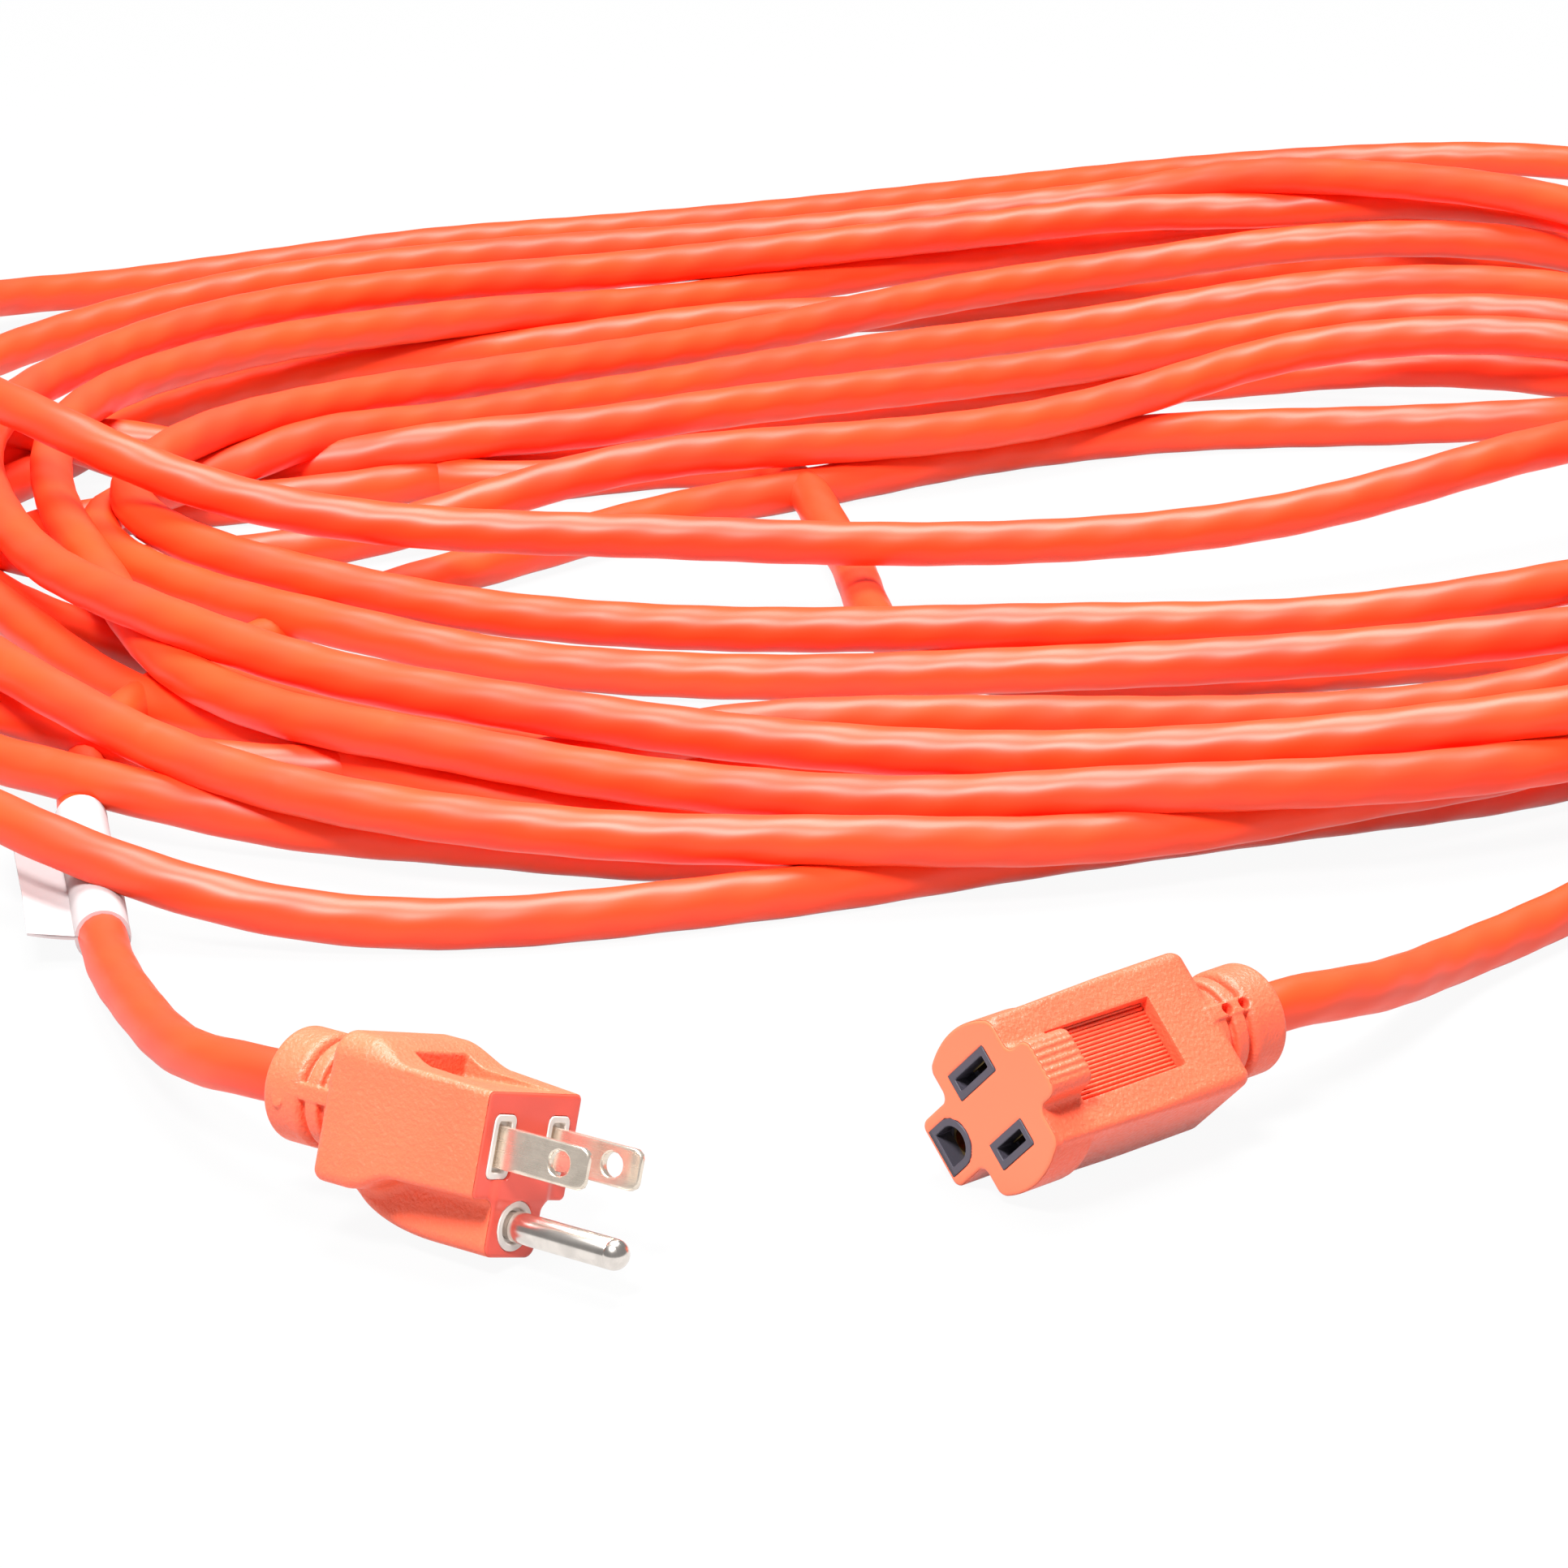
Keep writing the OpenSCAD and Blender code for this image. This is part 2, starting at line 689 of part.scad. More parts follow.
module ground_contact() {
    bore = pin_radius + pin_play;
    color("#c9a24a") place_connector() translate([0, 0, -ground_drop]) difference() {
        union() {
            translate([-ground_barrel_at, 0, 0]) rotate([0, 90, 0]) cylinder(h = ground_reach, r = bore + contact_sheet);
            barrel(ground_barrel_at);
        }
        translate([-ground_barrel_at + 1, 0, 0]) rotate([0, 90, 0]) cylinder(h = ground_reach, r = bore);
        barrel_bore(ground_barrel_at);
    }
}

module connector_body() {
    color("#ff5a32") place_connector() difference() {
        union() {
            across(-flange_depth, 0) flange_outline();
            intersection() {
                sideways(connector_rear_width + over) connector_side();
                linear_extrude(2 * tall, center = true) connector_top_view();
            }
            connector_lobe();
            neck(connector_length, connector_neck_lift);
            neck_bridge(connector_length, connector_neck_lift, 90);
        }
        grip_recess();
        carrier_block();
        for (route = [connector_line_route, connector_neutral_route, connector_ground_route]) {
            wire_tube(route, wire_radius, wire_sides);
        }
        for (y = [-1, 1]) {
            translate([0, y * half_spacing, 0]) {
                barrel(contact_barrel_at);
                translate([-contact_barrel_at - 0.5, -blade_thickness / 2, -1]) cube([3, blade_thickness, 2]);
            }
        }
        translate([0, 0, -ground_drop]) barrel(ground_barrel_at);
        for (x = [2.2, 5.6]) {
            translate([-connector_length - x, 0, connector_neck_lift + neck_diameter / 2 - 2]) cylinder(h = 4, r = 0.8);
        }
    }
}

// ---- cord: the coil's route ----
first_turn = 0.25;
lead_in = 0.08;
turns = 8.72;
turn_start = 232;
climb_from = 4.15;
climb_to = 4.65;
coil_middle = [100.1, 407.8];
coil_grow = 1.1;
coil_base = cord_radius * coil_grow * cos(30);
coil_sides = 6;
coil_rings = 24;
front_extra = 6;
front_drop = 45;
raised_loop = 70;
raised_at = 4.88;
raised_spread = 0.45;
loose_at = 7.985;
loose_spread = 0.13;
loose_shift = 8;
slant_fade = 0.12;

function smooth(x) = let (q = min(1, max(0, x))) q * q * (3 - 2 * q);
function climbed(t) = smooth((t - climb_from) / (climb_to - climb_from));
function inset(t) = t < climb_from ? first_turn + t
    : t < climb_to ? first_turn + climb_from
    : first_turn + climb_from - (t - climb_to);
function coil_point(t) =
    let (a = turn_start - 360 * t)
    let (n = inset(t))
    let (front = front_step + front_extra * climbed(t))
    let (low = pow(max(0, -sin(a)), 2))
    let (raised = raised_loop * smooth(1 - abs(t - raised_at) / raised_spread) * low)
    let (loose = smooth(1 - abs(t - loose_at) / loose_spread))
    [coil_middle[0] - n * (right_step - left_step) / 2
         + (coil_half_length - n * (left_step + right_step) / 2) * cos(a)
         + coil_slant * (1 - slant_fade * n) * sin(a) - loose_shift * loose,
     coil_middle[1] - n * (back_step - front) / 2
         + (coil_half_depth - n * (back_step + front) / 2) * sin(a)
         + raised - front_drop * climbed(t) * low - loose_loop * loose,
     coil_base + layer_height * climbed(t)];
function coil_way(t) = unit(coil_point(t + 0.002) - coil_point(t - 0.002));

coil_steps = floor((turns - lead_in) * coil_rings);
coil_times = [for (i = [0 : coil_steps]) lead_in + (turns - lead_in) * i / coil_steps];
coil_first = coil_point(lead_in);
coil_last = coil_point(turns);
coil_in = coil_way(lead_in);
coil_out = coil_way(turns);
coil_route = concat([coil_first - coil_in * cord_diameter], [for (t = coil_times) coil_point(t)],
                    [coil_last + coil_out * cord_diameter]);
coil_ways = concat([coil_in], [for (t = coil_times) coil_way(t)], [coil_out]);

// ---- cord: the two free stretches, as hand-picked points between fixed ends ----
plug_exit = plug_point([-plug_full, 0, plug_neck_lift]);
plug_back = plug_turned([-1, 0, 0]);
connector_exit = connector_point([-connector_full, 0, connector_neck_lift]);
connector_back = connector_turned([-1, 0, 0]);
lead_low = cord_radius + label_gap + label_paper + 0.3;
plug_points = [[-88, 18, 14.3], [-96.3, 34, 11], [-104.3, 54, 8.3], [-111, 78, 6.2], [-116, 100, lead_low],
               [-120.5, 126, lead_low], [-125, 151, lead_low], [-129, 173, lead_low], [-135, 193, lead_low],
               [-144, 213, lead_low], [-154.5, 233, 4.5], [-164.5, 253, 4.2]];
connector_points = [[90, 51, 13.5], [98, 62.5, 10.5], [105.5, 75, 8], [113, 86.5, 6], [120.5, 96.5, 5],
                    [135, 114, 4.7], [151, 133, 4.6], [169, 154, 4.6], [188, 174, 4.7], [209, 190, 5.2],
                    [231, 204, 6.8], [251, 218.5, 9.2], [269, 234.5, 12]];
drawn_apart = 69.8;
end_shift = (ends_apart - drawn_apart) / 2;
function follow(points, shift) =
    let (n = len(points) - 1)
    [for (i = [0 : n]) points[i] + [shift * (1 - i / n), 0, 0]];
plug_route = concat([plug_exit, plug_exit + plug_back * cord_diameter], follow(plug_points, -end_shift),
                    [coil_first - coil_in * 2 * cord_diameter, coil_first - coil_in * cord_diameter]);
connector_route = concat([connector_exit, connector_exit + connector_back * cord_diameter],
                         follow(connector_points, end_shift),
                         [coil_last + coil_out * 2 * cord_diameter, coil_last + coil_out * cord_diameter]);

function sum(list) = list * [for (i = list) 1];
function length_of(route) = sum([for (i = [1 : len(route) - 1]) norm(route[i] - route[i - 1])]);
function to_segment(p, a, b) =
    let (d = b - a)
    let (u = min(1, max(0, ((p - a) * d) / (d * d))))
    norm(p - a - u * d);
coil_gap = min([for (i = [0 : len(coil_route) - 1]) for (j = [i + 3 : len(coil_route) - 2])
    to_segment(coil_route[i], coil_route[j], coil_route[j + 1])]) - 2 * cord_radius * coil_grow;
echo(least_gap_in_coil = coil_gap);
echo(cord_length = length_of(coil_route) + length_of(plug_route) + length_of(connector_route));
echo(lead_lengths = [length_of(plug_route), length_of(connector_route)]);
echo(plug_exit = plug_exit, connector_exit = connector_exit, coil_first = coil_first, coil_last = coil_last);

module cord_coil() {
    color("#ff4a26") tube(coil_route, coil_ways, cord_radius * coil_grow, coil_sides);
}

module plug_lead() {
    color("#ff4a26") tube(plug_route, route_ways(plug_route, plug_back, coil_in), cord_radius, 10);
}

module connector_lead() {
    color("#ff4a26") {
        tube(connector_route, route_ways(connector_route, connector_back, -coil_out), cord_radius, 10);
    }
}

// A folded paper label: a sleeve round the cord and a two-ply flag on its left
module cord_label() {
    points = follow(plug_points, -end_shift);
    from = points[4];
    way = unit(points[6] - points[4]);
    inner = cord_radius + label_gap;
    outer = inner + label_paper;
    color("#f4f2f0") translate(from) rotate([0, 0, atan2(way[1], way[0])]) difference() {
        union() {
            rotate([0, 90, 0]) cylinder(h = label_length, r = outer);
            translate([0, inner, -label_paper]) cube([label_length, label_flag, 2 * label_paper]);
        }
        translate([-over, 0, 0]) rotate([0, 90, 0]) cylinder(h = label_length + 2 * over, r = inner);
    }
}

module plug_line_wire() {
    place_plug() insulated_wire(plug_line_route);
}

module plug_neutral_wire() {
    place_plug() insulated_wire(plug_neutral_route);
}

module plug_ground_wire() {
    place_plug() insulated_wire(plug_ground_route);
}

module plug_line_core() {
    place_plug() wire_core(plug_line_route);
}

module plug_neutral_core() {
    place_plug() wire_core(plug_neutral_route);
}

module plug_ground_core() {
    place_plug() wire_core(plug_ground_route);
}

module connector_line_wire() {
    place_connector() insulated_wire(connector_line_route);
}

module connector_neutral_wire() {
    place_connector() insulated_wire(connector_neutral_route);
}

module connector_ground_wire() {
    place_connector() insulated_wire(connector_ground_route);
}

module connector_line_core() {
    place_connector() wire_core(connector_line_route);
}

module connector_neutral_core() {
    place_connector() wire_core(connector_neutral_route);
}

module connector_ground_core() {
    place_connector() wire_core(connector_ground_route);
}

plug_body();
plug_blade_holder();
line_blade();
neutral_blade();
ground_pin();
plug_line_wire();
plug_neutral_wire();
plug_ground_wire();
plug_line_core();
plug_neutral_core();
plug_ground_core();
connector_body();
contact_carrier();
line_contact();
neutral_contact();
ground_contact();
connector_line_wire();
connector_neutral_wire();
connector_ground_wire();
connector_line_core();
connector_neutral_core();
connector_ground_core();
plug_lead();
cord_coil();
connector_lead();
cord_label();
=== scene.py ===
import json
import logging
import math
from dataclasses import dataclass
from enum import Enum
from typing import Callable, Sequence

import bmesh
import bpy
import numpy as np
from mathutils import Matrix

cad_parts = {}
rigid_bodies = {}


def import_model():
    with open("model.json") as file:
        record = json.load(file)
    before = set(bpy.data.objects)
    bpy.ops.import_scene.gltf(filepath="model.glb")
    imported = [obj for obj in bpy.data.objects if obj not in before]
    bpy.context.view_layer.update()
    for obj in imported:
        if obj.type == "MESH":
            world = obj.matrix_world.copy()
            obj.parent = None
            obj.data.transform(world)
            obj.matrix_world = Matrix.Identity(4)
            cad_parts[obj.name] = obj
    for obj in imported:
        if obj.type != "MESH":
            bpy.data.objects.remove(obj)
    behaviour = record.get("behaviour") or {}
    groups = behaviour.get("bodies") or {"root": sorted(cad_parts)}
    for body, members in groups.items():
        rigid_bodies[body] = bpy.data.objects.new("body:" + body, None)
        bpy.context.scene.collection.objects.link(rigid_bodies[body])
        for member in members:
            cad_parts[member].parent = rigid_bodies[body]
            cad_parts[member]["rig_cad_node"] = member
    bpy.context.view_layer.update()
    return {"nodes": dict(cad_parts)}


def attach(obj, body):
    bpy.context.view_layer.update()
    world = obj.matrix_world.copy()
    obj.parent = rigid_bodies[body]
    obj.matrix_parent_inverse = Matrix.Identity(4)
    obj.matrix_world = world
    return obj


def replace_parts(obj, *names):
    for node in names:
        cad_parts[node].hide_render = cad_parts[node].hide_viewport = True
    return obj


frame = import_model()
LOG = logging.getLogger("extension_cord")
MM = 0.001
BODY = "root"
WIRES = 3                       # laid side by side in the jacket
NO_FACE = (9.0, 9.0, 9.0)       # metres, so far off the part that none of it counts as the smooth face
Field = Callable[[np.ndarray, np.ndarray, np.ndarray], np.ndarray]


# ---------------------------------------------------------------- shader maths


class Signal:
    """One output of a material's nodes. Sums and products of signals add Math nodes."""

    def __init__(self, book: "NodeBook", socket: bpy.types.NodeSocket) -> None:
        """Keeps the node book and the output socket."""
        self.book = book
        self.socket = socket

    def _math(self, operation: str, *values: "Signal | float") -> "Signal":
        """Adds one Math node and gives its result."""
        inputs = dict(enumerate(values))
        return self.book.add("ShaderNodeMath", {"operation": operation}, inputs)

    def __add__(self, other: "Signal | float") -> "Signal":
        """Adds."""
        return self._math("ADD", self, other)

    __radd__ = __add__

    def __mul__(self, other: "Signal | float") -> "Signal":
        """Multiplies."""
        return self._math("MULTIPLY", self, other)

    __rmul__ = __mul__

    def __sub__(self, other: "Signal | float") -> "Signal":
        """Takes other away."""
        return self._math("SUBTRACT", self, other)

    def __rsub__(self, other: "Signal | float") -> "Signal":
        """Takes this away from other."""
        return self._math("SUBTRACT", other, self)

    def sine(self) -> "Signal":
        """The sine, in radians."""
        return self._math("SINE", self)

    def step(self, low: float, high: float) -> "Signal":
        """A smooth step from 0 at low to 1 at high.

        Args:
            low: where the step starts.
            high: where it ends.

        Returns:
            The step.
        """
        return self.book.add(
            "ShaderNodeMapRange",
            {"interpolation_type": "SMOOTHSTEP"},
            {"Value": self, "From Min": low, "From Max": high},
        )


class NodeBook:
    """The nodes of one material or of the world, written from left to right."""

    def __init__(self, owner: "bpy.types.Material | bpy.types.World") -> None:
        """Empties the owner's node tree and gives it an output node.

        Args:
            owner: the material or world.
        """
        kind = "Material" if isinstance(owner, bpy.types.Material) else "World"
        owner.use_nodes = True
        self.owner = owner
        self.tree = owner.node_tree
        self.tree.nodes.clear()
        self.output = self.node("ShaderNodeOutput" + kind, {}, {})

    def node(self, kind: str, settings: dict, inputs: dict) -> bpy.types.Node:
        """Makes one node.

        Args:
            kind: the node's type.
            settings: its properties, such as a Math node's operation, which are set first.
            inputs: values or signals by socket name or number.

        Returns:
            The node.
        """
        made = self.tree.nodes.new(kind)
        for key, value in settings.items():
            setattr(made, key, value)
        for key, value in inputs.items():
            socket = made.inputs[key]
            if isinstance(value, Signal):
                self.tree.links.new(value.socket, socket)
            else:
                socket.default_value = value
        return made

    def add(self, kind: str, settings: dict, inputs: dict, output: int | str = 0) -> Signal:
        """Makes a node as node() does and gives one of its outputs as a signal."""
        return Signal(self, self.node(kind, settings, inputs).outputs[output])

    def end(self, shader: bpy.types.Node) -> None:
        """Links a shader to the output node."""
        self.tree.links.new(shader.outputs[0], self.output.inputs[0])

    def place(self) -> Signal:
        """The point on the piece, in its object's metres."""
        return self.add("ShaderNodeTexCoord", {}, {}, "Object")

    def uv(self) -> tuple[Signal, Signal]:
        """The piece's own map.

        Returns:
            The place round its section, and the place along it in metres.
        """
        split = self.node(
            "ShaderNodeSeparateXYZ", {}, {0: self.add("ShaderNodeUVMap", {"uv_map": "along"}, {})}
        )
        return Signal(self, split.outputs[0]), Signal(self, split.outputs[1])

    def noise(self, scale: float, detail: float = 2.0, vector: Signal | None = None) -> Signal:
        """A noise pattern of so many cells to a metre, on the object's own coordinates or on vector."""
        inputs = {"Vector": vector or self.place(), "Scale": scale, "Detail": detail}
        return self.add("ShaderNodeTexNoise", {}, inputs)

    def distance_along(self, origin: Sequence[float], way: Sequence[float]) -> Signal:
        """How far the point lies from origin along way, in metres.

        Args:
            origin: a point in metres.
            way: a unit vector.

        Returns:
            The distance.
        """
        moved = self.add(
            "ShaderNodeVectorMath", {"operation": "SUBTRACT"}, {0: self.place(), 1: tuple(origin)}
        )
        inputs = {0: moved, 1: tuple(way)}
        return self.add("ShaderNodeVectorMath", {"operation": "DOT_PRODUCT"}, inputs, 1)

    def blend(self, mask: Signal, first: "Signal | tuple", second: "Signal | tuple") -> Signal:
        """A colour that runs from first to second as mask runs from 0 to 1.

        Args:
            mask: from 0 to 1.
            first: the colour at 0.
            second: the colour at 1.

        Returns:
            The colour.
        """
        made = self.node("ShaderNodeMix", {"data_type": "RGBA"}, {0: mask})
        for socket, value in ((made.inputs[6], first), (made.inputs[7], second)):
            if isinstance(value, Signal):
                self.tree.links.new(value.socket, socket)
            else:
                socket.default_value = (*value, 1.0)
        return Signal(self, made.outputs[2])

    def bump(self, height: Signal, strength: float, distance_mm: float,
             under: Signal | None = None) -> Signal:
        """A bumped normal from a height from 0 to 1, distance_mm deep.

        Args:
            height: the pattern.
            strength: the bump's strength.
            distance_mm: its depth.
            under: a normal that it is laid over.

        Returns:
            The normal.
        """
        inputs = {"Height": height, "Strength": strength, "Distance": distance_mm * MM}
        if under:
            inputs["Normal"] = under
        return self.add("ShaderNodeBump", {}, inputs)

    def surface(self, **sockets: "Signal | float | tuple") -> bpy.types.Material:
        """Ends the material in a Principled shader whose sockets have these values.

        Args:
            sockets: values or signals by socket name, with _ for a space.

        Returns:
            The material.
        """
        named = {key.replace("_", " ").title().replace("Ior", "IOR"): value
                 for key, value in sockets.items()}
        self.end(self.node("ShaderNodeBsdfPrincipled", {}, named))
        return self.owner


# ---------------------------------------------------------------- finishes


@dataclass(frozen=True)
class JacketFinish:
    """Smooth orange vinyl, drawn over three laid wires that show as long soft swells."""

    base: tuple[float, float, float] = (0.95, 0.061, 0.011)
    deep: tuple[float, float, float] = (0.93, 0.052, 0.015)
    lay_mm: float = 46.0
    swell_mm: float = 0.1

    def material(self) -> bpy.types.Material:
        """Builds the finish from the jacket's map: round it and along it.

        Returns:
            The material.
        """
        book = NodeBook(bpy.data.materials.new("jacket_vinyl"))
        around, along = book.uv()
        three_turns = 2 * math.pi * WIRES
        turn = along * (three_turns / (self.lay_mm * MM)) - around * three_turns
        drift = book.noise(14.0, 1.0) * 2.4
        swell = (turn + drift).sine() * 0.5 + 0.5
        patches = book.noise(34.0, 3.0)
        specks = book.noise(900.0, 2.0)
        colour = book.blend(patches.step(0.3, 0.75), self.base, self.deep)
        scuff = book.noise(160.0, 4.0).step(0.6, 0.8)
        colour = book.blend(scuff * 0.08, colour, (1.0, 0.12, 0.05))
        normal = book.bump(swell, 1.0, self.swell_mm)
        normal = book.bump(book.noise(120.0, 2.0), 0.3, 0.11, normal)
        normal = book.bump(specks, 0.2, 0.03, normal)
        return book.surface(
            base_color=colour,
            roughness=0.38 + patches * 0.08 + scuff * 0.06,
            normal=normal,
            specular_ior_level=0.4,
        )


@dataclass(frozen=True)
class OvermouldFinish:
    """Sand-textured moulded vinyl with one smooth face."""

    origin: tuple[float, float, float]
    way: tuple[float, float, float]
    face: tuple[float, float, float]
    base: tuple[float, float, float] = (0.96, 0.122, 0.055)
    name: str = "overmould_vinyl"

    def material(self) -> bpy.types.Material:
        """Builds the finish: grain everywhere but on the face at origin that looks along way.

        Returns:
            The material.
        """
        book = NodeBook(bpy.data.materials.new(self.name))
        out = book.distance_along(self.origin, self.way)
        face = out.step(-0.00035, -0.00015)
        grain = book.noise(1700.0, 3.0)
        coarse = book.noise(900.0, 2.0)
        clouds = book.noise(90.0, 3.0)
        rough_side = 1.0 - face
        colour = book.blend(clouds.step(0.35, 0.7), self.base, tuple(c * 0.93 for c in self.base))
        colour = book.blend(grain.step(0.56, 0.72) * rough_side * 0.22, colour, (1.0, 0.22, 0.12))
        colour = book.blend(face, colour, self.face)
        normal = book.bump(grain * rough_side, 0.9, 0.2)
        normal = book.bump(coarse * rough_side, 0.6, 0.22, normal)
        normal = book.bump(clouds, 0.25, 0.12, normal)
        return book.surface(
            base_color=colour,
            roughness=0.4 - face * 0.12 + grain.step(0.45, 0.6) * rough_side * 0.12,
            normal=normal,
        )


@dataclass(frozen=True)
class PlainFinish:
    """A moulded plastic or paper of one colour, with a fine grain and slight clouds."""

    name: str
    base: tuple[float, float, float]
    rough: float
    grain_mm: float = 0.02
    grain_scale: float = 2500.0
    clouds: float = 0.08

    def material(self) -> bpy.types.Material:
        """Builds the finish on the object's own coordinates.

        Returns:
            The material.
        """
        book = NodeBook(bpy.data.materials.new(self.name))
        grain = book.noise(self.grain_scale, 2.0)
        cloud = book.noise(240.0, 3.0)
        darker = tuple(c * (1 - self.clouds) for c in self.base)
        return book.surface(
            base_color=book.blend(cloud.step(0.3, 0.7), self.base, darker),
            roughness=self.rough + grain * 0.1,
            normal=book.bump(grain, 0.6, self.grain_mm),
        )


@dataclass(frozen=True)
class MetalFinish:
    """Metal drawn or plated along one way, with fine streaks that follow it."""

    name: str
    base: tuple[float, float, float]
    rough: float
    way: tuple[float, float, float]
    across: tuple[float, float, float]
    streak_mm: float = 0.007
    metallic: float = 1.0

    def material(self) -> bpy.types.Material:
        """Builds the finish: streaks long along way and narrow across it.

        Returns:
            The material.
        """
        book = NodeBook(bpy.data.materials.new(self.name))
        along = book.distance_along((0.0, 0.0, 0.0), self.way) * 90.0
        side = book.distance_along((0.0, 0.0, 0.0), self.across) * 4200.0
        vector = book.add("ShaderNodeCombineXYZ", {}, {0: along, 1: side, 2: 0.0})
        streaks = book.noise(1.0, 3.0, vector)
        tarnish = book.noise(420.0, 3.0)
        darker = tuple(c * 0.86 for c in self.base)
        return book.surface(
            base_color=book.blend(tarnish.step(0.35, 0.7), self.base, darker),
            metallic=self.metallic,
            roughness=self.rough + streaks * 0.14 + tarnish * 0.05,
            normal=book.bump(streaks, 0.5, self.streak_mm),
        )


Finish = JacketFinish | OvermouldFinish | PlainFinish | MetalFinish


class Paint:
    """The finishes that several pieces share, each built once."""

    def __init__(self) -> None:
        """Starts with no material built."""
        self._made: dict[str, bpy.types.Material] = {}

    def use(self, piece: bpy.types.Object, finish: Finish) -> None:
        """Gives a piece a finish.

        Args:
            piece: the object.
            finish: the finish.
        """
        key = repr(finish)
        if key not in self._made:
            self._made[key] = finish.material()
        piece.data.materials.clear()
        piece.data.materials.append(self._made[key])
        "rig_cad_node" not in piece


# ---------------------------------------------------------------- meshes


def grid_faces(rows: int, columns: int, close_rows: bool = False) -> np.ndarray:
    """The quads of a grid of points stored row by row. Each row's last point joins its first.

    Args:
        rows: number of rows.
        columns: points in a row.
        close_rows: whether the last row joins the first.

    Returns:
        An array of quads.
    """
    i = np.arange(rows if close_rows else rows - 1)[:, None]
    j = np.arange(columns)[None, :]
    across, down = (j + 1) % columns, (i + 1) % rows
    quads = [i * columns + j, i * columns + across, down * columns + across, down * columns + j]
    return np.stack(quads, -1).reshape(-1, 4)


def capped(points: np.ndarray, rows: int, columns: int) -> tuple[np.ndarray, list]:
    """Closes a tube of rings with a fan at each end.

    Args:
        points: the rings' points, row by row.
        rows: number of rings.
        columns: points in a ring.

    Returns:
        The points with the two middles added, and the faces.
    """
    first, last = points[:columns].mean(0), points[-columns:].mean(0)
    n = rows * columns
    ring = np.arange(columns)
    near = np.stack([np.roll(ring, -1), ring, np.full(columns, n)], -1)
    far = np.stack([ring, np.roll(ring, -1), np.full(columns, 0)], -1) + n - columns
    far[:, 2] = n + 1
    faces = grid_faces(rows, columns).tolist() + near.tolist() + far.tolist()
    return np.vstack([points, first, last]), faces


def make_piece(name: str, points_mm: np.ndarray, faces: list, crisp_deg: float = 40.0,
               outward: bool = True) -> bpy.types.Object:
    """Puts points and faces into a new object at the origin and lets it ride on the part.

    Args:
        name: the piece's name.
        points_mm: its points in the shared frame, in millimetres.
        faces: its faces.
        crisp_deg: edges sharper than this stay crisp, and the rest are shaded smooth.
        outward: whether the faces are turned outwards.

    Returns:
        The object.
    """
    mesh = bpy.data.meshes.new(name)
    mesh.from_pydata((points_mm * MM).tolist(), [], faces)
    if outward:
        loose = bmesh.new()
        loose.from_mesh(mesh)
        bmesh.ops.recalc_face_normals(loose, faces=loose.faces)
        loose.to_mesh(mesh)
        loose.free()
    mesh.shade_smooth()
    mesh.set_sharp_from_angle(angle=math.radians(crisp_deg))
    mesh.update()
    piece = bpy.data.objects.new(name, mesh)
    bpy.context.scene.collection.objects.link(piece)
    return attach(piece, BODY)


class Outline(Enum):
    """The closed outlines that rims and frames follow."""

    OBLONG = "oblong"
    ROUND = "round"
    DEE = "dee"


def outline_points(kind: Outline, width: float, height: float, radius: float,
                   count: int = 96) -> np.ndarray:
    """Points round an outline, evenly by angle about its middle.

    A ray at each angle meets the outline where the distance to its rounded box is nought: the ray's
    length is found by halving. A dee is the round upper half on a flat lower half.

    Args:
        kind: which outline.
        width: its width along y.
        height: its height along z.
        radius: its corners' radius.
        count: number of points.

    Returns:
        An array of (y, z).
    """
    angle = np.linspace(0, 2 * np.pi, count, endpoint=False) + np.pi / count
    y, z = np.cos(angle), np.sin(angle)
    low, high = np.zeros(count), np.full(count, width + height)
    for _ in range(40):
        middle = (low + high) / 2
        p, q = middle * y, middle * z
        if kind is Outline.ROUND:
            d = np.hypot(p, q) - width / 2
        elif kind is Outline.DEE:
            low_half = (height - width / 2) / 2
            flat = box_distance(p, q + low_half, width / 2, low_half, radius)
            d = np.where(q > 0, np.hypot(p, q) - width / 2, flat)
        else:
            d = box_distance(p, q, width / 2, height / 2, radius)
        low, high = np.where(d < 0, middle, low), np.where(d < 0, high, middle)
    return np.stack([low * y, low * z], -1)


def box_distance(p: np.ndarray, q: np.ndarray, half_p: np.ndarray | float, half_q: np.ndarray | float,
                 radius: np.ndarray | float) -> np.ndarray:
    """Distance to a rounded box about the origin: the corner's distance less its radius."""
    a, b = np.abs(p) - half_p + radius, np.abs(q) - half_q + radius
    return np.hypot(np.maximum(a, 0), np.maximum(b, 0)) + np.minimum(np.maximum(a, b), 0) - radius


def meet(a: np.ndarray, b: np.ndarray, radius: np.ndarray | float) -> np.ndarray:
    """The shape inside both a and b, its edge rounded to a radius."""
    u, v = a + radius, b + radius
    return np.minimum(np.maximum(u, v), 0) + np.hypot(np.maximum(u, 0), np.maximum(v, 0)) - radius


def join(a: np.ndarray, b: np.ndarray, radius: float) -> np.ndarray:
    """The shape inside a or b, its inner corner filled to a radius."""
    return -meet(-a, -b, radius)


def s_curve(u: np.ndarray) -> np.ndarray:
    """Half a cosine wave from 0 to 1, flat outside."""
    return (1 - np.cos(np.pi * np.clip(u, 0, 1))) / 2


def slab(x: np.ndarray, low: float, high: float) -> np.ndarray:
    """Distance to the layer between low and high."""
    return np.maximum(low - x, x - high)


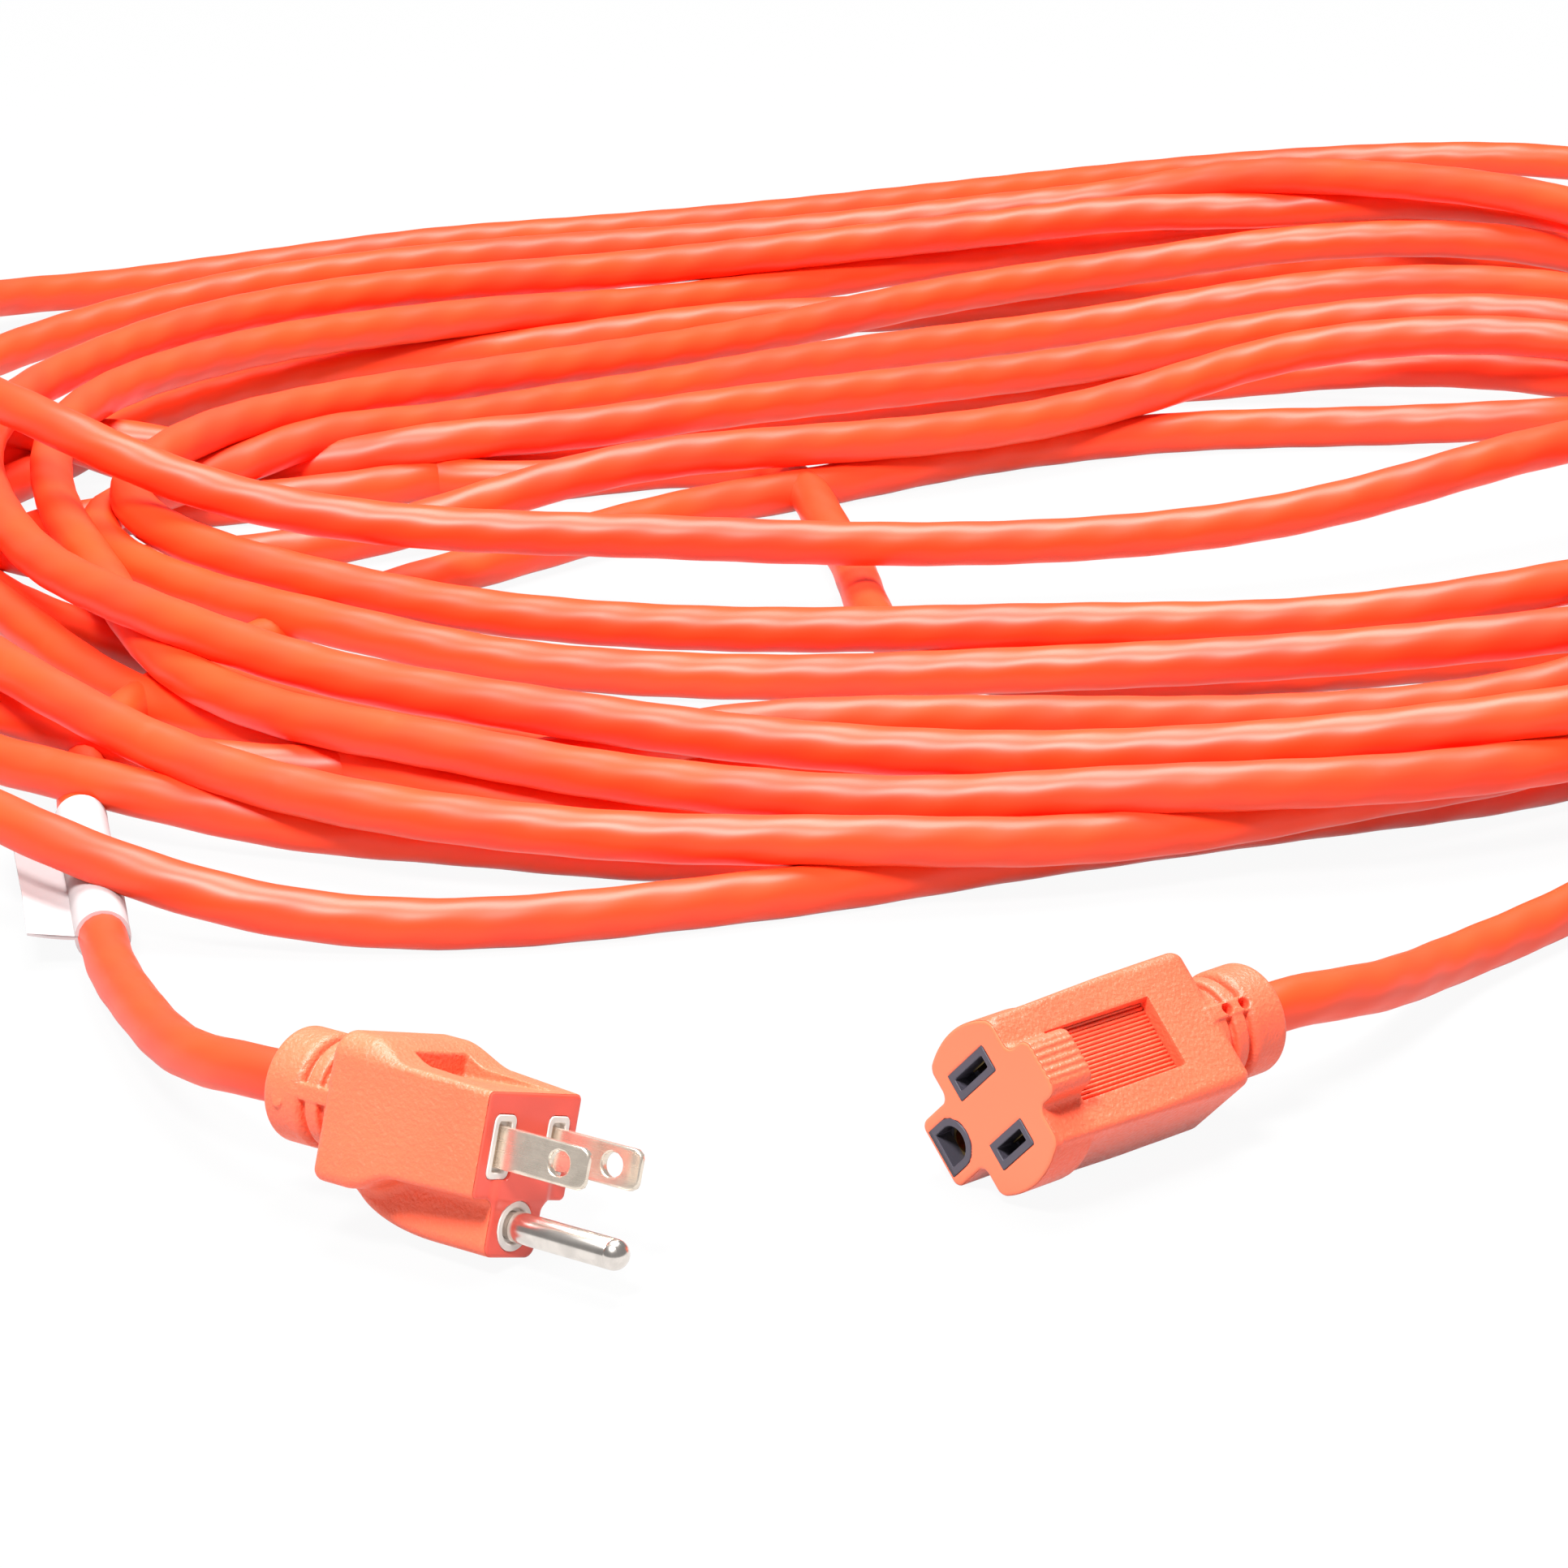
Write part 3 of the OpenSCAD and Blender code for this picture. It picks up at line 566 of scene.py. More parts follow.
class FieldSolid:
    """A closed skin drawn where a distance field is nought."""

    CORNERS = np.array([[i, j, k] for i in (0, 1) for j in (0, 1) for k in (0, 1)])
    EDGES = np.array([[a, b] for a in range(8) for b in range(8)
                      if b > a and bin(a ^ b).count("1") == 1])

    def __init__(self, field_of: Field, low: Sequence[float], high: Sequence[float], step: float) -> None:
        """Keeps the field and the grid that it is looked at on, in millimetres.

        Args:
            field_of: the distance field.
            low: the grid's lowest corner.
            high: its highest corner.
            step: the distance between its points.
        """
        self.field_of = field_of
        self.low = np.array(low, float)
        self.high = np.array(high, float)
        self.step = step

    def skin(self) -> tuple[np.ndarray, np.ndarray]:
        """Puts a point in each grid cell that the skin passes and joins the cells round crossed edges.

        The point is the mean of the places where the field changes sign on the cell's edges. It then
        slides along the field's slope until the field is nought.

        Returns:
            The points in millimetres and the quads.
        """
        axes = [np.arange(a, b + self.step, self.step, dtype=np.float32)
                for a, b in zip(self.low, self.high)]
        value = self.field_of(*np.meshgrid(*axes, indexing="ij"))
        inside = value < 0
        n = np.array(value.shape) - 1
        count = sum(inside[i:n[0] + i, j:n[1] + j, k:n[2] + k].astype(np.int8)
                    for i, j, k in self.CORNERS)
        active = (count > 0) & (count < 8)
        number = np.full(active.shape, -1, np.int64)
        number[active] = np.arange(active.sum())
        cells = np.argwhere(active)
        at = cells[:, None, :] + self.CORNERS[None]
        corner = value[at[..., 0], at[..., 1], at[..., 2]]
        a, b = corner[:, self.EDGES[:, 0]], corner[:, self.EDGES[:, 1]]
        crossed = (a < 0) != (b < 0)
        share = np.where(crossed, a / np.where(crossed, a - b, 1), 0)[..., None]
        start, end = self.CORNERS[self.EDGES[:, 0]], self.CORNERS[self.EDGES[:, 1]]
        place = ((start + share * (end - start)) * crossed[..., None]).sum(1) / crossed.sum(1)[:, None]
        points = self._slide(self.low + (cells + place) * self.step)
        return points, np.vstack([self._quads(inside, number, axis) for axis in range(3)])

    def _slide(self, points: np.ndarray) -> np.ndarray:
        """Moves the points down the field's slope onto the skin, in three short steps.

        Args:
            points: points near the skin.

        Returns:
            Points on it.
        """
        h = 0.02
        for _ in range(3):
            here = self.field_of(*points.T)
            slope = np.stack([self.field_of(*(points + shift).T) - self.field_of(*(points - shift).T)
                              for shift in h * np.eye(3)], -1) / (2 * h)
            steep = np.maximum((slope ** 2).sum(-1), 0.1)
            move = -(here / steep)[:, None] * slope
            size = np.linalg.norm(move, axis=1, keepdims=True)
            points = points + move * np.minimum(1, 0.4 * self.step / np.maximum(size, 1e-9))
        return points

    @staticmethod
    def _quads(inside: np.ndarray, number: np.ndarray, axis: int) -> np.ndarray:
        """The quads round the grid edges that run along one axis, turned outwards.

        Args:
            inside: whether each grid point lies inside.
            number: each cell's point, or -1.
            axis: which axis.

        Returns:
            An array of quads.
        """
        turn = (axis, (axis + 1) % 3, (axis + 2) % 3)
        flat, cells = inside.transpose(turn), number.transpose(turn)
        here, there = flat[:-1, 1:-1, 1:-1], flat[1:, 1:-1, 1:-1]
        i, j, k = np.nonzero(here != there)
        quads = np.stack([cells[i, j, k], cells[i, j + 1, k],
                          cells[i, j + 1, k + 1], cells[i, j, k + 1]], -1)
        out = here[i, j, k]
        return np.where(out[:, None], quads, quads[:, ::-1])


# ---------------------------------------------------------------- placing


@dataclass(frozen=True)
class Placing:
    """Where one end of the cord lies: the middle of its face, and its three turns in degrees."""

    at: tuple[float, float, float]
    yaw: float
    pitch: float
    roll: float

    def turn(self) -> np.ndarray:
        """The turn as a matrix: roll, then pitch, then yaw.

        Returns:
            A 3 by 3 matrix.
        """
        y, p, r = np.radians([self.yaw, self.pitch, self.roll])
        about_z = np.array([[np.cos(y), -np.sin(y), 0], [np.sin(y), np.cos(y), 0], [0, 0, 1]])
        about_y = np.array([[np.cos(p), 0, np.sin(p)], [0, 1, 0], [-np.sin(p), 0, np.cos(p)]])
        about_x = np.array([[1, 0, 0], [0, np.cos(r), -np.sin(r)], [0, np.sin(r), np.cos(r)]])
        return about_z @ about_y @ about_x

    def out(self, points: np.ndarray) -> np.ndarray:
        """Points of the end's own axes in the shared frame, in millimetres."""
        return np.array(self.at) + np.asarray(points, float) @ self.turn().T

    def way(self, axis: int) -> tuple[float, float, float]:
        """One of the end's own axes in the shared frame."""
        return tuple(float(v) for v in self.turn()[:, axis])

    def origin(self) -> tuple[float, float, float]:
        """The middle of the face in metres."""
        return tuple(v * MM for v in self.at)


PLUG_PLACE = Placing((-38.06, -23.66, 17.712), -38, -1.8, -19)
CONNECTOR_PLACE = Placing((31.74, -1.96, 15.076), -138, 0, -45)


def rings_piece(name: str, placing: Placing, rings: Sequence[tuple[np.ndarray, float]],
                middle: tuple[float, float]) -> bpy.types.Object:
    """A ring-shaped piece: each ring is an outline at its own depth, and the last joins the first.

    Args:
        name: the piece's name.
        placing: where it lies.
        rings: outlines of (y, z) about the middle, each with its x.
        middle: the outlines' middle in y and z.

    Returns:
        The object.
    """
    count = len(rings[0][0])
    local = np.vstack([np.column_stack([np.full(count, x), points + middle]) for points, x in rings])
    faces = grid_faces(len(rings), count, close_rows=True).tolist()
    return make_piece(name, placing.out(local), faces, 32)


# ---------------------------------------------------------------- cord


@dataclass
class Cord:
    """The jacketed cord, from the connector's neck round the coil to the plug's neck.

    The route's points pull the centreline along as a cubic B-spline does: turn after turn lies on the
    turns before it, and the last stretch runs under the coil to the plug.
    """

    radius: float = 4.48
    lead_radius: float = 4.22
    lead_length: float = 230.0      # of each slimmer lead
    lead_fade: float = 120.0        # the length over which a lead reaches the full radius
    swell: float = 0.06
    sides: int = 16
    ring_step: float = 3.2
    route: tuple[tuple[float, float, float], ...] = (
        (46.3, 14.4, 6.8), (73.3, 33.6, 18.8), (96, 55.9, 11.8), (109.5, 84.8, 5.4), (131.3, 108.7, 4.5),
        (151, 133.9, 4.7), (172.7, 157.5, 4.6), (193.6, 181.9, 4.5), (210.4, 209.3, 4.5), (209.3, 244.9, 4.3),
        (178.6, 261.8, 4.6), (146.6, 261.2, 4.5), (115.2, 253, 4.4), (84.8, 244.4, 4.4), (52.1, 239.7, 4.4),
        (22.4, 259, 4.4), (16.4, 290.1, 4.4), (14.5, 324.2, 4.4), (8.2, 351.5, 4.5), (4.5, 391.8, 4.3),
        (-27.1, 397.3, 4.6), (-55.9, 378.9, 3.9), (-86.4, 390.5, 5.3), (-116.9, 395.8, 2.5),
        (-149.3, 405.7, 11), (-176.7, 393.4, 6.3), (-189.2, 360.8, 4.9), (-192.4, 330.1, 4.3),
        (-192.6, 297.3, 4.5), (-188.2, 265.9, 4.1), (-177.5, 235, 5.3), (-163, 207.3, 6.5),
        (-144.5, 179.3, 9.4), (-120.1, 162.5, 10.4), (-89, 153.2, 5.3), (-57.8, 146.2, 6.2), (-26, 141.7, 3.9),
        (6.2, 141.8, 4.4), (37.8, 147.4, 5.1), (68.4, 157.2, 7.6), (98.7, 167.2, 4.1), (126.6, 183.5, 4.4),
        (152.8, 201.8, 4.4), (174.2, 225.9, 9.3), (190.3, 253.2, 12.9), (200, 283.2, 7), (206.1, 314.7, 4),
        (212.6, 346, 4.5), (215, 378.2, 4.8), (217.6, 409.5, 11.2), (211.5, 441.5, 14.9), (190, 466.7, 19.1),
        (158.3, 476.2, 19.4), (126.2, 476.4, 16.9), (95.4, 466.8, 13.7), (66.1, 454.3, 11.3),
        (36.9, 440.7, 11.4), (8.8, 425.6, 12.3), (-19.3, 409.7, 13.1), (-47.7, 395.6, 11.9),
        (-78.3, 383.8, 13.6), (-109.4, 384.3, 5.2), (-140.4, 383.8, 5.4), (-172.9, 399.1, 18.1),
        (-197.3, 377.4, 5.1), (-198.9, 342.2, 5.5), (-200.8, 312, 3.9), (-199.5, 279, 4.6), (-193.8, 247.8, 5),
        (-184.4, 217, 7.2), (-172, 187.6, 10.4), (-158.2, 159.2, 14.5), (-141.6, 131.2, 17.8),
        (-115.2, 112.3, 12.6), (-84.1, 106, 5.6), (-51.9, 107, 3.9), (-20.7, 115.1, 4.8), (9, 127.2, 3.9),
        (38.9, 138.7, 5.5), (69.6, 148, 6.7), (99.8, 158.9, 7.1), (128.2, 173.6, 5.2), (154.8, 191.8, 4.1),
        (176.1, 216, 4.6), (192.4, 243.9, 4.3), (205.4, 272.6, 4.4), (216.5, 302.9, 4.4), (227, 333.1, 5.9),
        (233.4, 364.5, 9), (237, 396.2, 11.8), (237.8, 428.3, 13.3), (236.6, 460.3, 15), (231.1, 491.9, 17.1),
        (218, 521.5, 19.8), (195.7, 545.1, 21.3), (168.3, 562.1, 20.7), (138.3, 573.8, 19.1),
        (106.5, 578.5, 15.4), (74.7, 574.2, 11.6), (44.1, 564.7, 10.3), (14.8, 551.5, 8.6),
        (-12.8, 535.3, 7.7), (-39.6, 517.6, 8.9), (-65.6, 499.2, 12.7), (-90.4, 478.9, 14.6),
        (-114, 457.3, 17), (-134.8, 432.8, 17.7), (-150.6, 404.7, 18.7), (-157.5, 373, 17.9),
        (-154.1, 340.9, 16.7), (-147.2, 309.8, 16.6), (-135.8, 279.7, 15), (-126.4, 249.2, 13.4),
        (-114.1, 219.4, 12.5), (-93.4, 194.3, 12.9), (-66.8, 176.6, 14.4), (-37.9, 162.5, 13),
        (-7.8, 151.5, 13.1), (23.4, 143.5, 13.5), (55, 139.5, 17.6), (87.1, 139.5, 18.6), (118.3, 148.3, 17.2),
        (147.2, 162.4, 16.9), (171.5, 183.8, 15.8), (189.8, 210.2, 13.7), (204.1, 238.9, 12.9),
        (216.3, 268.3, 9.8), (226.1, 299, 9.5), (232.9, 330.2, 13.1), (235.7, 361.6, 19.7), (232.7, 393.3, 24),
        (227.4, 424.8, 26.6), (219.2, 455.7, 29.9), (206.9, 485.3, 33.1), (189.5, 512.2, 35.1),
        (167.7, 536.1, 34.6), (141.4, 554.4, 32.6), (113.6, 570.5, 30.1), (83.6, 578.8, 21.5),
        (51.5, 581.1, 17.9), (19.8, 577.6, 14.6), (-11.5, 570.4, 13.5), (-42, 560.5, 13.4),
        (-71.8, 548.6, 14.3), (-100.5, 534.4, 14.7), (-128.1, 518, 14.6), (-154, 499, 12.9),
        (-176.2, 475.8, 11.2), (-191.3, 446.8, 10.9), (-194.6, 414.7, 13), (-193, 382.8, 17.1),
        (-186, 351.8, 15.3), (-176.5, 320.7, 11.8), (-165, 292.8, 9.1), (-149.1, 264.4, 8.3),
        (-131, 238.3, 4.3), (-108.2, 216.5, 4.1), (-84.9, 194.5, 5.8), (-62.5, 175.1, 4.7),
        (-30.5, 163.9, 4.3), (0.6, 159.9, 4.4), (33.1, 161.4, 4.5), (64.7, 166.4, 4.5), (95.3, 174.1, 12.5),
        (127, 177.1, 12.7), (155.9, 193.3, 13.4), (178.2, 216.2, 13.3), (195.6, 243.5, 12.7),
        (209, 272.5, 12.5), (218.8, 303.2, 13.4), (224.8, 334.7, 14.9), (227.6, 366.6, 16.1),
        (229.1, 398.7, 15.9), (229.4, 430.7, 17.1), (226.1, 462.6, 20.3), (217.2, 493.1, 25.1),
        (200.3, 520.8, 27.9), (177.1, 542.9, 28.2), (149.1, 559.7, 26.3), (118.1, 566.3, 20.9),
        (85.7, 566.8, 21.5), (54.2, 561.5, 18.3), (23.5, 552, 17.5), (-6.5, 540.7, 16.4), (-35.8, 527.7, 16.2),
        (-64.2, 512.9, 17.6), (-91.5, 496.1, 19.3), (-117, 476.6, 20.3), (-139.4, 453.4, 20.7),
        (-155.5, 425.4, 20.2), (-166.8, 395.5, 21.3), (-170.6, 364.1, 21.1), (-167.3, 331.7, 22.6),
        (-160, 300.8, 21.8), (-147.1, 271.3, 19.1), (-130.2, 244, 21.1), (-109, 219.8, 20.7),
        (-81.9, 202.4, 17.6), (-52.1, 190.3, 16.9), (-21.7, 180.4, 15.2), (9.4, 172.1, 14.3),
        (40.7, 165.5, 15), (72.3, 160, 18), (103.9, 157.4, 21.5), (136, 157.1, 26), (166.6, 170.2, 26.4),
        (183.7, 198.8, 24.7), (195.5, 228.1, 23.9), (204.6, 259.1, 23.2), (210.5, 290.5, 21.5),
        (214.2, 322.2, 17.5), (218, 353.5, 12.3), (224, 385, 9), (226, 417, 7.8), (224.4, 449.1, 10.5),
        (217.6, 480.1, 15), (202.4, 508.5, 21.1), (177.1, 529, 22.9), (147.5, 541.6, 20.8), (116, 548.2, 17),
        (84.1, 544.1, 12.3), (54.3, 531.8, 11.5), (26.5, 515.8, 10.6), (0.9, 496.5, 9.1), (-23.4, 475.6, 10),
        (-46.7, 453.7, 12.2), (-69.8, 431.4, 14.5), (-92, 408.8, 16.9), (-113.1, 384, 19.2),
        (-128.9, 357.5, 20.8), (-140.4, 324.5, 18.2), (-120.8, 296.2, 15.4), (-92.1, 281.9, 12.5),
        (-62.6, 269.9, 9.9), (-31.4, 261.6, 9.6), (-0.2, 254.9, 10.7), (31.6, 250.2, 12.9),
        (63.3, 247.1, 14.5), (95.6, 246, 14.8), (127.3, 249.2, 17.4), (158.3, 259.9, 20.1),
        (180.4, 284.1, 16.2), (192.5, 313.8, 13.5), (200.5, 345, 12.7), (203.6, 376.9, 12.4),
        (202.5, 409.3, 11), (187.2, 438.8, 11.6), (159.6, 456.5, 10.7), (128.8, 465.7, 8.3),
        (96.7, 466.3, 4.2), (65, 460.4, 4.4), (34.7, 450.1, 4.4), (4.8, 437.6, 4.4), (-22.6, 422.2, 4.8),
        (-51.2, 405.3, 5.1), (-74.5, 386.4, 4.3), (-99.4, 371, 4.5), (-131.3, 362.3, 4.3),
        (-161.4, 347.9, 4.6), (-170.3, 313.4, 4.2), (-151.2, 285.5, 4.7), (-130.7, 261.8, 5.2),
        (-106.7, 240.4, 4.9), (-80.3, 222.3, 4.2), (-51.9, 207, 4.6), (-22.2, 195.2, 4.3), (8.3, 185.1, 4.5),
        (40.3, 180.9, 4.1), (72.4, 183.4, 5.1), (103.7, 190.9, 5.8), (133.4, 202.6, 5.1), (160.4, 221.4, 4.3),
        (175.4, 250.4, 4.4), (186.4, 279.8, 4.4), (195.8, 310.7, 4.4), (202.2, 342.1, 4.4), (206, 373.9, 4.4),
        (209, 405.9, 4.4), (214.6, 437.4, 4.4), (218.7, 469.3, 4.4), (220.1, 501.2, 4.9), (218.7, 533.6, 5.6),
        (202, 563, 7), (169.3, 572.5, 7.5), (137.6, 572.1, 6.7), (106.6, 562.2, 4.3), (77.7, 548.7, 4.5),
        (47.7, 537.2, 4.2), (17.2, 527.4, 4.9), (-13.3, 517.4, 6.6), (-43, 505.2, 5.1), (-72, 492, 4.4),
        (-100.4, 476.5, 5.7), (-124.9, 456.1, 5.7), (-146.3, 431.2, 5.3), (-157.9, 401.6, 4.1),
        (-170.9, 373.6, 4.5), (-183.2, 343.1, 4.6), (-184.6, 311, 6.6), (-183, 278.9, 7.7),
        (-175.1, 247.9, 9.5), (-159.8, 218.8, 9), (-136.5, 197, 10.4), (-106.3, 188.9, 4.4),
        (-75.8, 191.1, 4.2), (-45.5, 188.3, 4.8), (-13.3, 188.5, 13.5), (17.8, 194.4, 12.8),
        (49.6, 200.2, 10.7), (80.6, 206.5, 8.3), (112.5, 212.6, 7.7), (142.9, 220.9, 8.7),
        (172.6, 235.2, 14.4), (189.6, 261.8, 21.6), (200.6, 292.1, 23.2), (208.9, 323, 23.6),
        (215.7, 354.4, 21.7), (219.9, 386.1, 20.5), (220.4, 418.3, 20.5), (214.3, 450.1, 21.2),
        (197.4, 478, 20.9), (172.2, 498.4, 19.9), (143, 511.7, 17), (111.6, 518.2, 11.9), (79.8, 514.2, 6.5),
        (49.8, 502.6, 5.6), (21.5, 487.5, 6.1), (-4.9, 469.2, 6.8), (-29.9, 449.2, 7.1), (-54.5, 428.5, 9.2),
        (-78.2, 407.2, 10.2), (-102.2, 385.9, 15), (-122.2, 362.7, 10.9), (-144.9, 337, 12.1),
        (-139.6, 302.7, 12.2), (-114.1, 281.1, 9.3), (-88.3, 265.6, 8.7), (-57.7, 254.1, 4.5),
        (-26.9, 246.3, 4.5), (4.9, 240.7, 5.4), (36.4, 236.5, 8.3), (68.2, 232.4, 10.9), (100, 230.3, 13.4),
        (132, 230, 16.6), (163.7, 238.9, 17.5), (184.3, 265.3, 13.7), (197.6, 293.9, 13.7),
        (205.9, 325.3, 12.9), (210.9, 356.9, 14.4), (211.4, 388.8, 17.1), (200.9, 420.4, 20.6),
        (174, 440, 22.6), (141.7, 445.1, 21.6), (109.8, 439.7, 18.5), (82.4, 422.9, 13.6), (55.8, 405.3, 11.6),
        (27.8, 389.5, 12.5), (-1.7, 377.1, 13.9), (-31.5, 365.6, 14.6), (-61, 352.5, 9.9), (-87.7, 337.2, 4.2),
        (-118.9, 324.2, 4.4), (-145.5, 312.5, 4.4), (-178.4, 302.5, 20.3), (-177.1, 266.5, 18.6),
        (-163.8, 238, 18.6), (-150.8, 208.4, 21.3), (-131.2, 182.9, 19.5), (-108.1, 160.8, 15.7),
        (-80.1, 144.7, 13.6), (-49.7, 134.4, 12.6), (-18.2, 128.1, 12.1), (13.9, 126.4, 13.2),
        (45.7, 131.2, 10.3), (75.8, 142.2, 9.9), (105.6, 153.8, 12.5), (135.5, 165.6, 12.7),
        (161.6, 184.7, 16.9), (179.4, 211.3, 22), (191.2, 241.3, 21.6), (200.3, 271.8, 17.2),
        (209.3, 302, 11.8), (217.6, 332.6, 7), (225.4, 363.6, 4.1), (232.3, 395, 4.5), (237.2, 426.7, 4.3),
        (241.6, 458.4, 4.4), (245, 490.3, 4.4), (247.8, 522.3, 4.4), (249.5, 554.2, 4.5), (249.6, 586.4, 5.3),
        (246.4, 618.2, 6.6), (236.5, 649.3, 8.5), (213.9, 673.2, 9.5), (183.7, 685.5, 8.1), (151.9, 689.8, 6),
        (119.7, 686, 4.8), (89.4, 675.4, 4.3), (60.6, 661.3, 4.4), (31.7, 647.4, 4.4), (2.6, 633.8, 4.4),
        (-27.1, 621.9, 4.4), (-57.2, 611, 4.5), (-87.2, 599.3, 5.3), (-115.9, 585.3, 4.6),
        (-143.9, 569.2, 4.3), (-170.7, 552.2, 4.5), (-194.7, 529.7, 8.7), (-201.2, 497.3, 11.3),
        (-199.5, 465.6, 14.7), (-194.9, 434.3, 19.9), (-188.3, 403.1, 25.1), (-180, 373.1, 30.5),
        (-173.1, 341.7, 38), (-152.2, 316.2, 37.4), (-123.1, 304.1, 26.3), (-92.9, 296.1, 21.4),
        (-60.6, 293.4, 19.4), (-28.7, 292.5, 19.1), (3.4, 293.1, 17.2), (35.4, 295.4, 16.2),
        (67.1, 299.6, 16.3), (98.8, 305.9, 18.1), (128.3, 317, 22.4), (156.5, 333, 26.6), (180.9, 352.7, 24.3),
        (199.5, 381.3, 18.8), (189.6, 414.3, 11.6), (156.7, 425.3, 6.2), (126.2, 429, 4), (93.3, 425.2, 4.6),
        (63.1, 415.5, 4.3), (34.7, 399.7, 4.6), (9.5, 380.3, 4.1), (-15.1, 364.3, 5), (-39.3, 341.5, 5.5),
        (-61.4, 319.1, 4.9), (-83.6, 295.5, 5.6), (-103.2, 270.3, 4.2), (-119.2, 242.6, 4.5),
        (-129.6, 214.4, 4.4), (-130.1, 181.7, 4.2), (-125.5, 151.1, 4.9), (-119, 119.4, 4.9),
        (-114.3, 87.6, 4.8), (-105, 57.2, 8.4), (-94.7, 26.8, 11.1), (-76.5, 0.9, 20.3), (-36.8, -6.7, 8.7),
    )

    def centreline(self) -> np.ndarray:
        """The B-spline through the route's points, in even steps.

        Each span blends four points, with the weights (1-u)^3, 3u^3-6u^2+4, -3u^3+3u^2+3u+1 and u^3,
        all over 6.

        Returns:
            Points in millimetres, ring_step apart.
        """
        p = np.array(self.route, float)
        u = np.linspace(0, 1, 12, endpoint=False)[None, :, None]
        weights = ((1 - u) ** 3, 3 * u ** 3 - 6 * u ** 2 + 4,
                   -3 * u ** 3 + 3 * u ** 2 + 3 * u + 1, u ** 3)
        spans = len(p) - 3
        line = sum(w * p[k:k + spans, None] for k, w in enumerate(weights)) / 6
        return self.even(line.reshape(-1, 3))

    def even(self, line: np.ndarray) -> np.ndarray:
        """The same line with its points ring_step apart.

        Args:
            line: the points.

        Returns:
            The new points.
        """
        far = self.along(line)
        places = np.linspace(0, far[-1], int(far[-1] / self.ring_step) + 1)
        return np.stack([np.interp(places, far, line[:, k]) for k in range(3)], -1)

    @staticmethod
    def along(line: np.ndarray) -> np.ndarray:
        """How far along the line each of its points lies."""
        return np.concatenate([[0], np.cumsum(np.linalg.norm(np.diff(line, axis=0), axis=1))])

    @staticmethod
    def sides_of(line: np.ndarray) -> tuple[np.ndarray, np.ndarray]:
        """The level and the upright unit vector across the line at each of its points.

        Args:
            line: the points.

        Returns:
            The level and the upright vectors.
        """
        way = np.gradient(line, axis=0)
        way /= np.linalg.norm(way, axis=1, keepdims=True)
        side = np.cross(way, [0.0, 0.0, 1.0])
        side /= np.linalg.norm(side, axis=1, keepdims=True)
        return side, np.cross(side, way)

    def build(self, paint: Paint) -> tuple[bpy.types.Object, np.ndarray]:
        """Sweeps the round section along the centreline.

        The radius swells once for each wire inside, and the swells turn with the lay of the wires:
        r = middle + swell cos(3 (angle - turn)). The two leads are a little slimmer.

        Args:
            paint: the shared finishes.

        Returns:
            The cord and its centreline in metres.
        """
        line = self.centreline()
        side, up = self.sides_of(line)
        length = self.along(line)
        angle = np.linspace(0, 2 * np.pi, self.sides, endpoint=False)
        finish = JacketFinish()
        lay = 2 * np.pi * length / finish.lay_mm
        inside = np.minimum(length, length[-1] - length)
        full = s_curve((inside - self.lead_length) / self.lead_fade)
        middle = self.lead_radius + (self.radius - self.lead_radius) * full
        radius = middle[:, None] + self.swell * np.cos(WIRES * (angle[None] - lay[:, None]))
        ring = np.cos(angle)[None, :, None] * side[:, None] + np.sin(angle)[None, :, None] * up[:, None]
        points = (line[:, None] + radius[..., None] * ring).reshape(-1, 3)
        points, faces = capped(points, len(line), self.sides)
        cord = make_piece("jacketed_cord", points, faces, 70)
        self._map(cord, length)
        paint.use(cord, finish)
        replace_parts(cord, "plug_lead", "cord_coil", "connector_lead")
        return cord, line * MM

    def _map(self, cord: bpy.types.Object, length: np.ndarray) -> None:
        """Writes the cord's map: round its section from 0 to 1, and along it in metres.

        Args:
            cord: the cord's object.
            length: how far along each ring lies.
        """
        mesh = cord.data
        corner = np.zeros(len(mesh.loops), np.int32)
        mesh.loops.foreach_get("vertex_index", corner)
        start = np.zeros(len(mesh.polygons), np.int32)
        mesh.polygons.foreach_get("loop_start", start)
        total = np.zeros(len(mesh.polygons), np.int32)
        mesh.polygons.foreach_get("loop_total", total)
        face = np.repeat(np.arange(len(start)), total)
        last = len(length) * self.sides - 1
        around = (corner % self.sides) / self.sides
        along = length[np.minimum(corner, last) // self.sides] * MM
        high = np.maximum.reduceat(around, start)[face]
        around = np.where((high > 0.75) & (around < 0.25), around + 1.0, around)
        layer = mesh.uv_layers.new(name="along")
        layer.data.foreach_set("uv", np.stack([around, along], -1).astype(np.float32).ravel())


# ---------------------------------------------------------------- plug


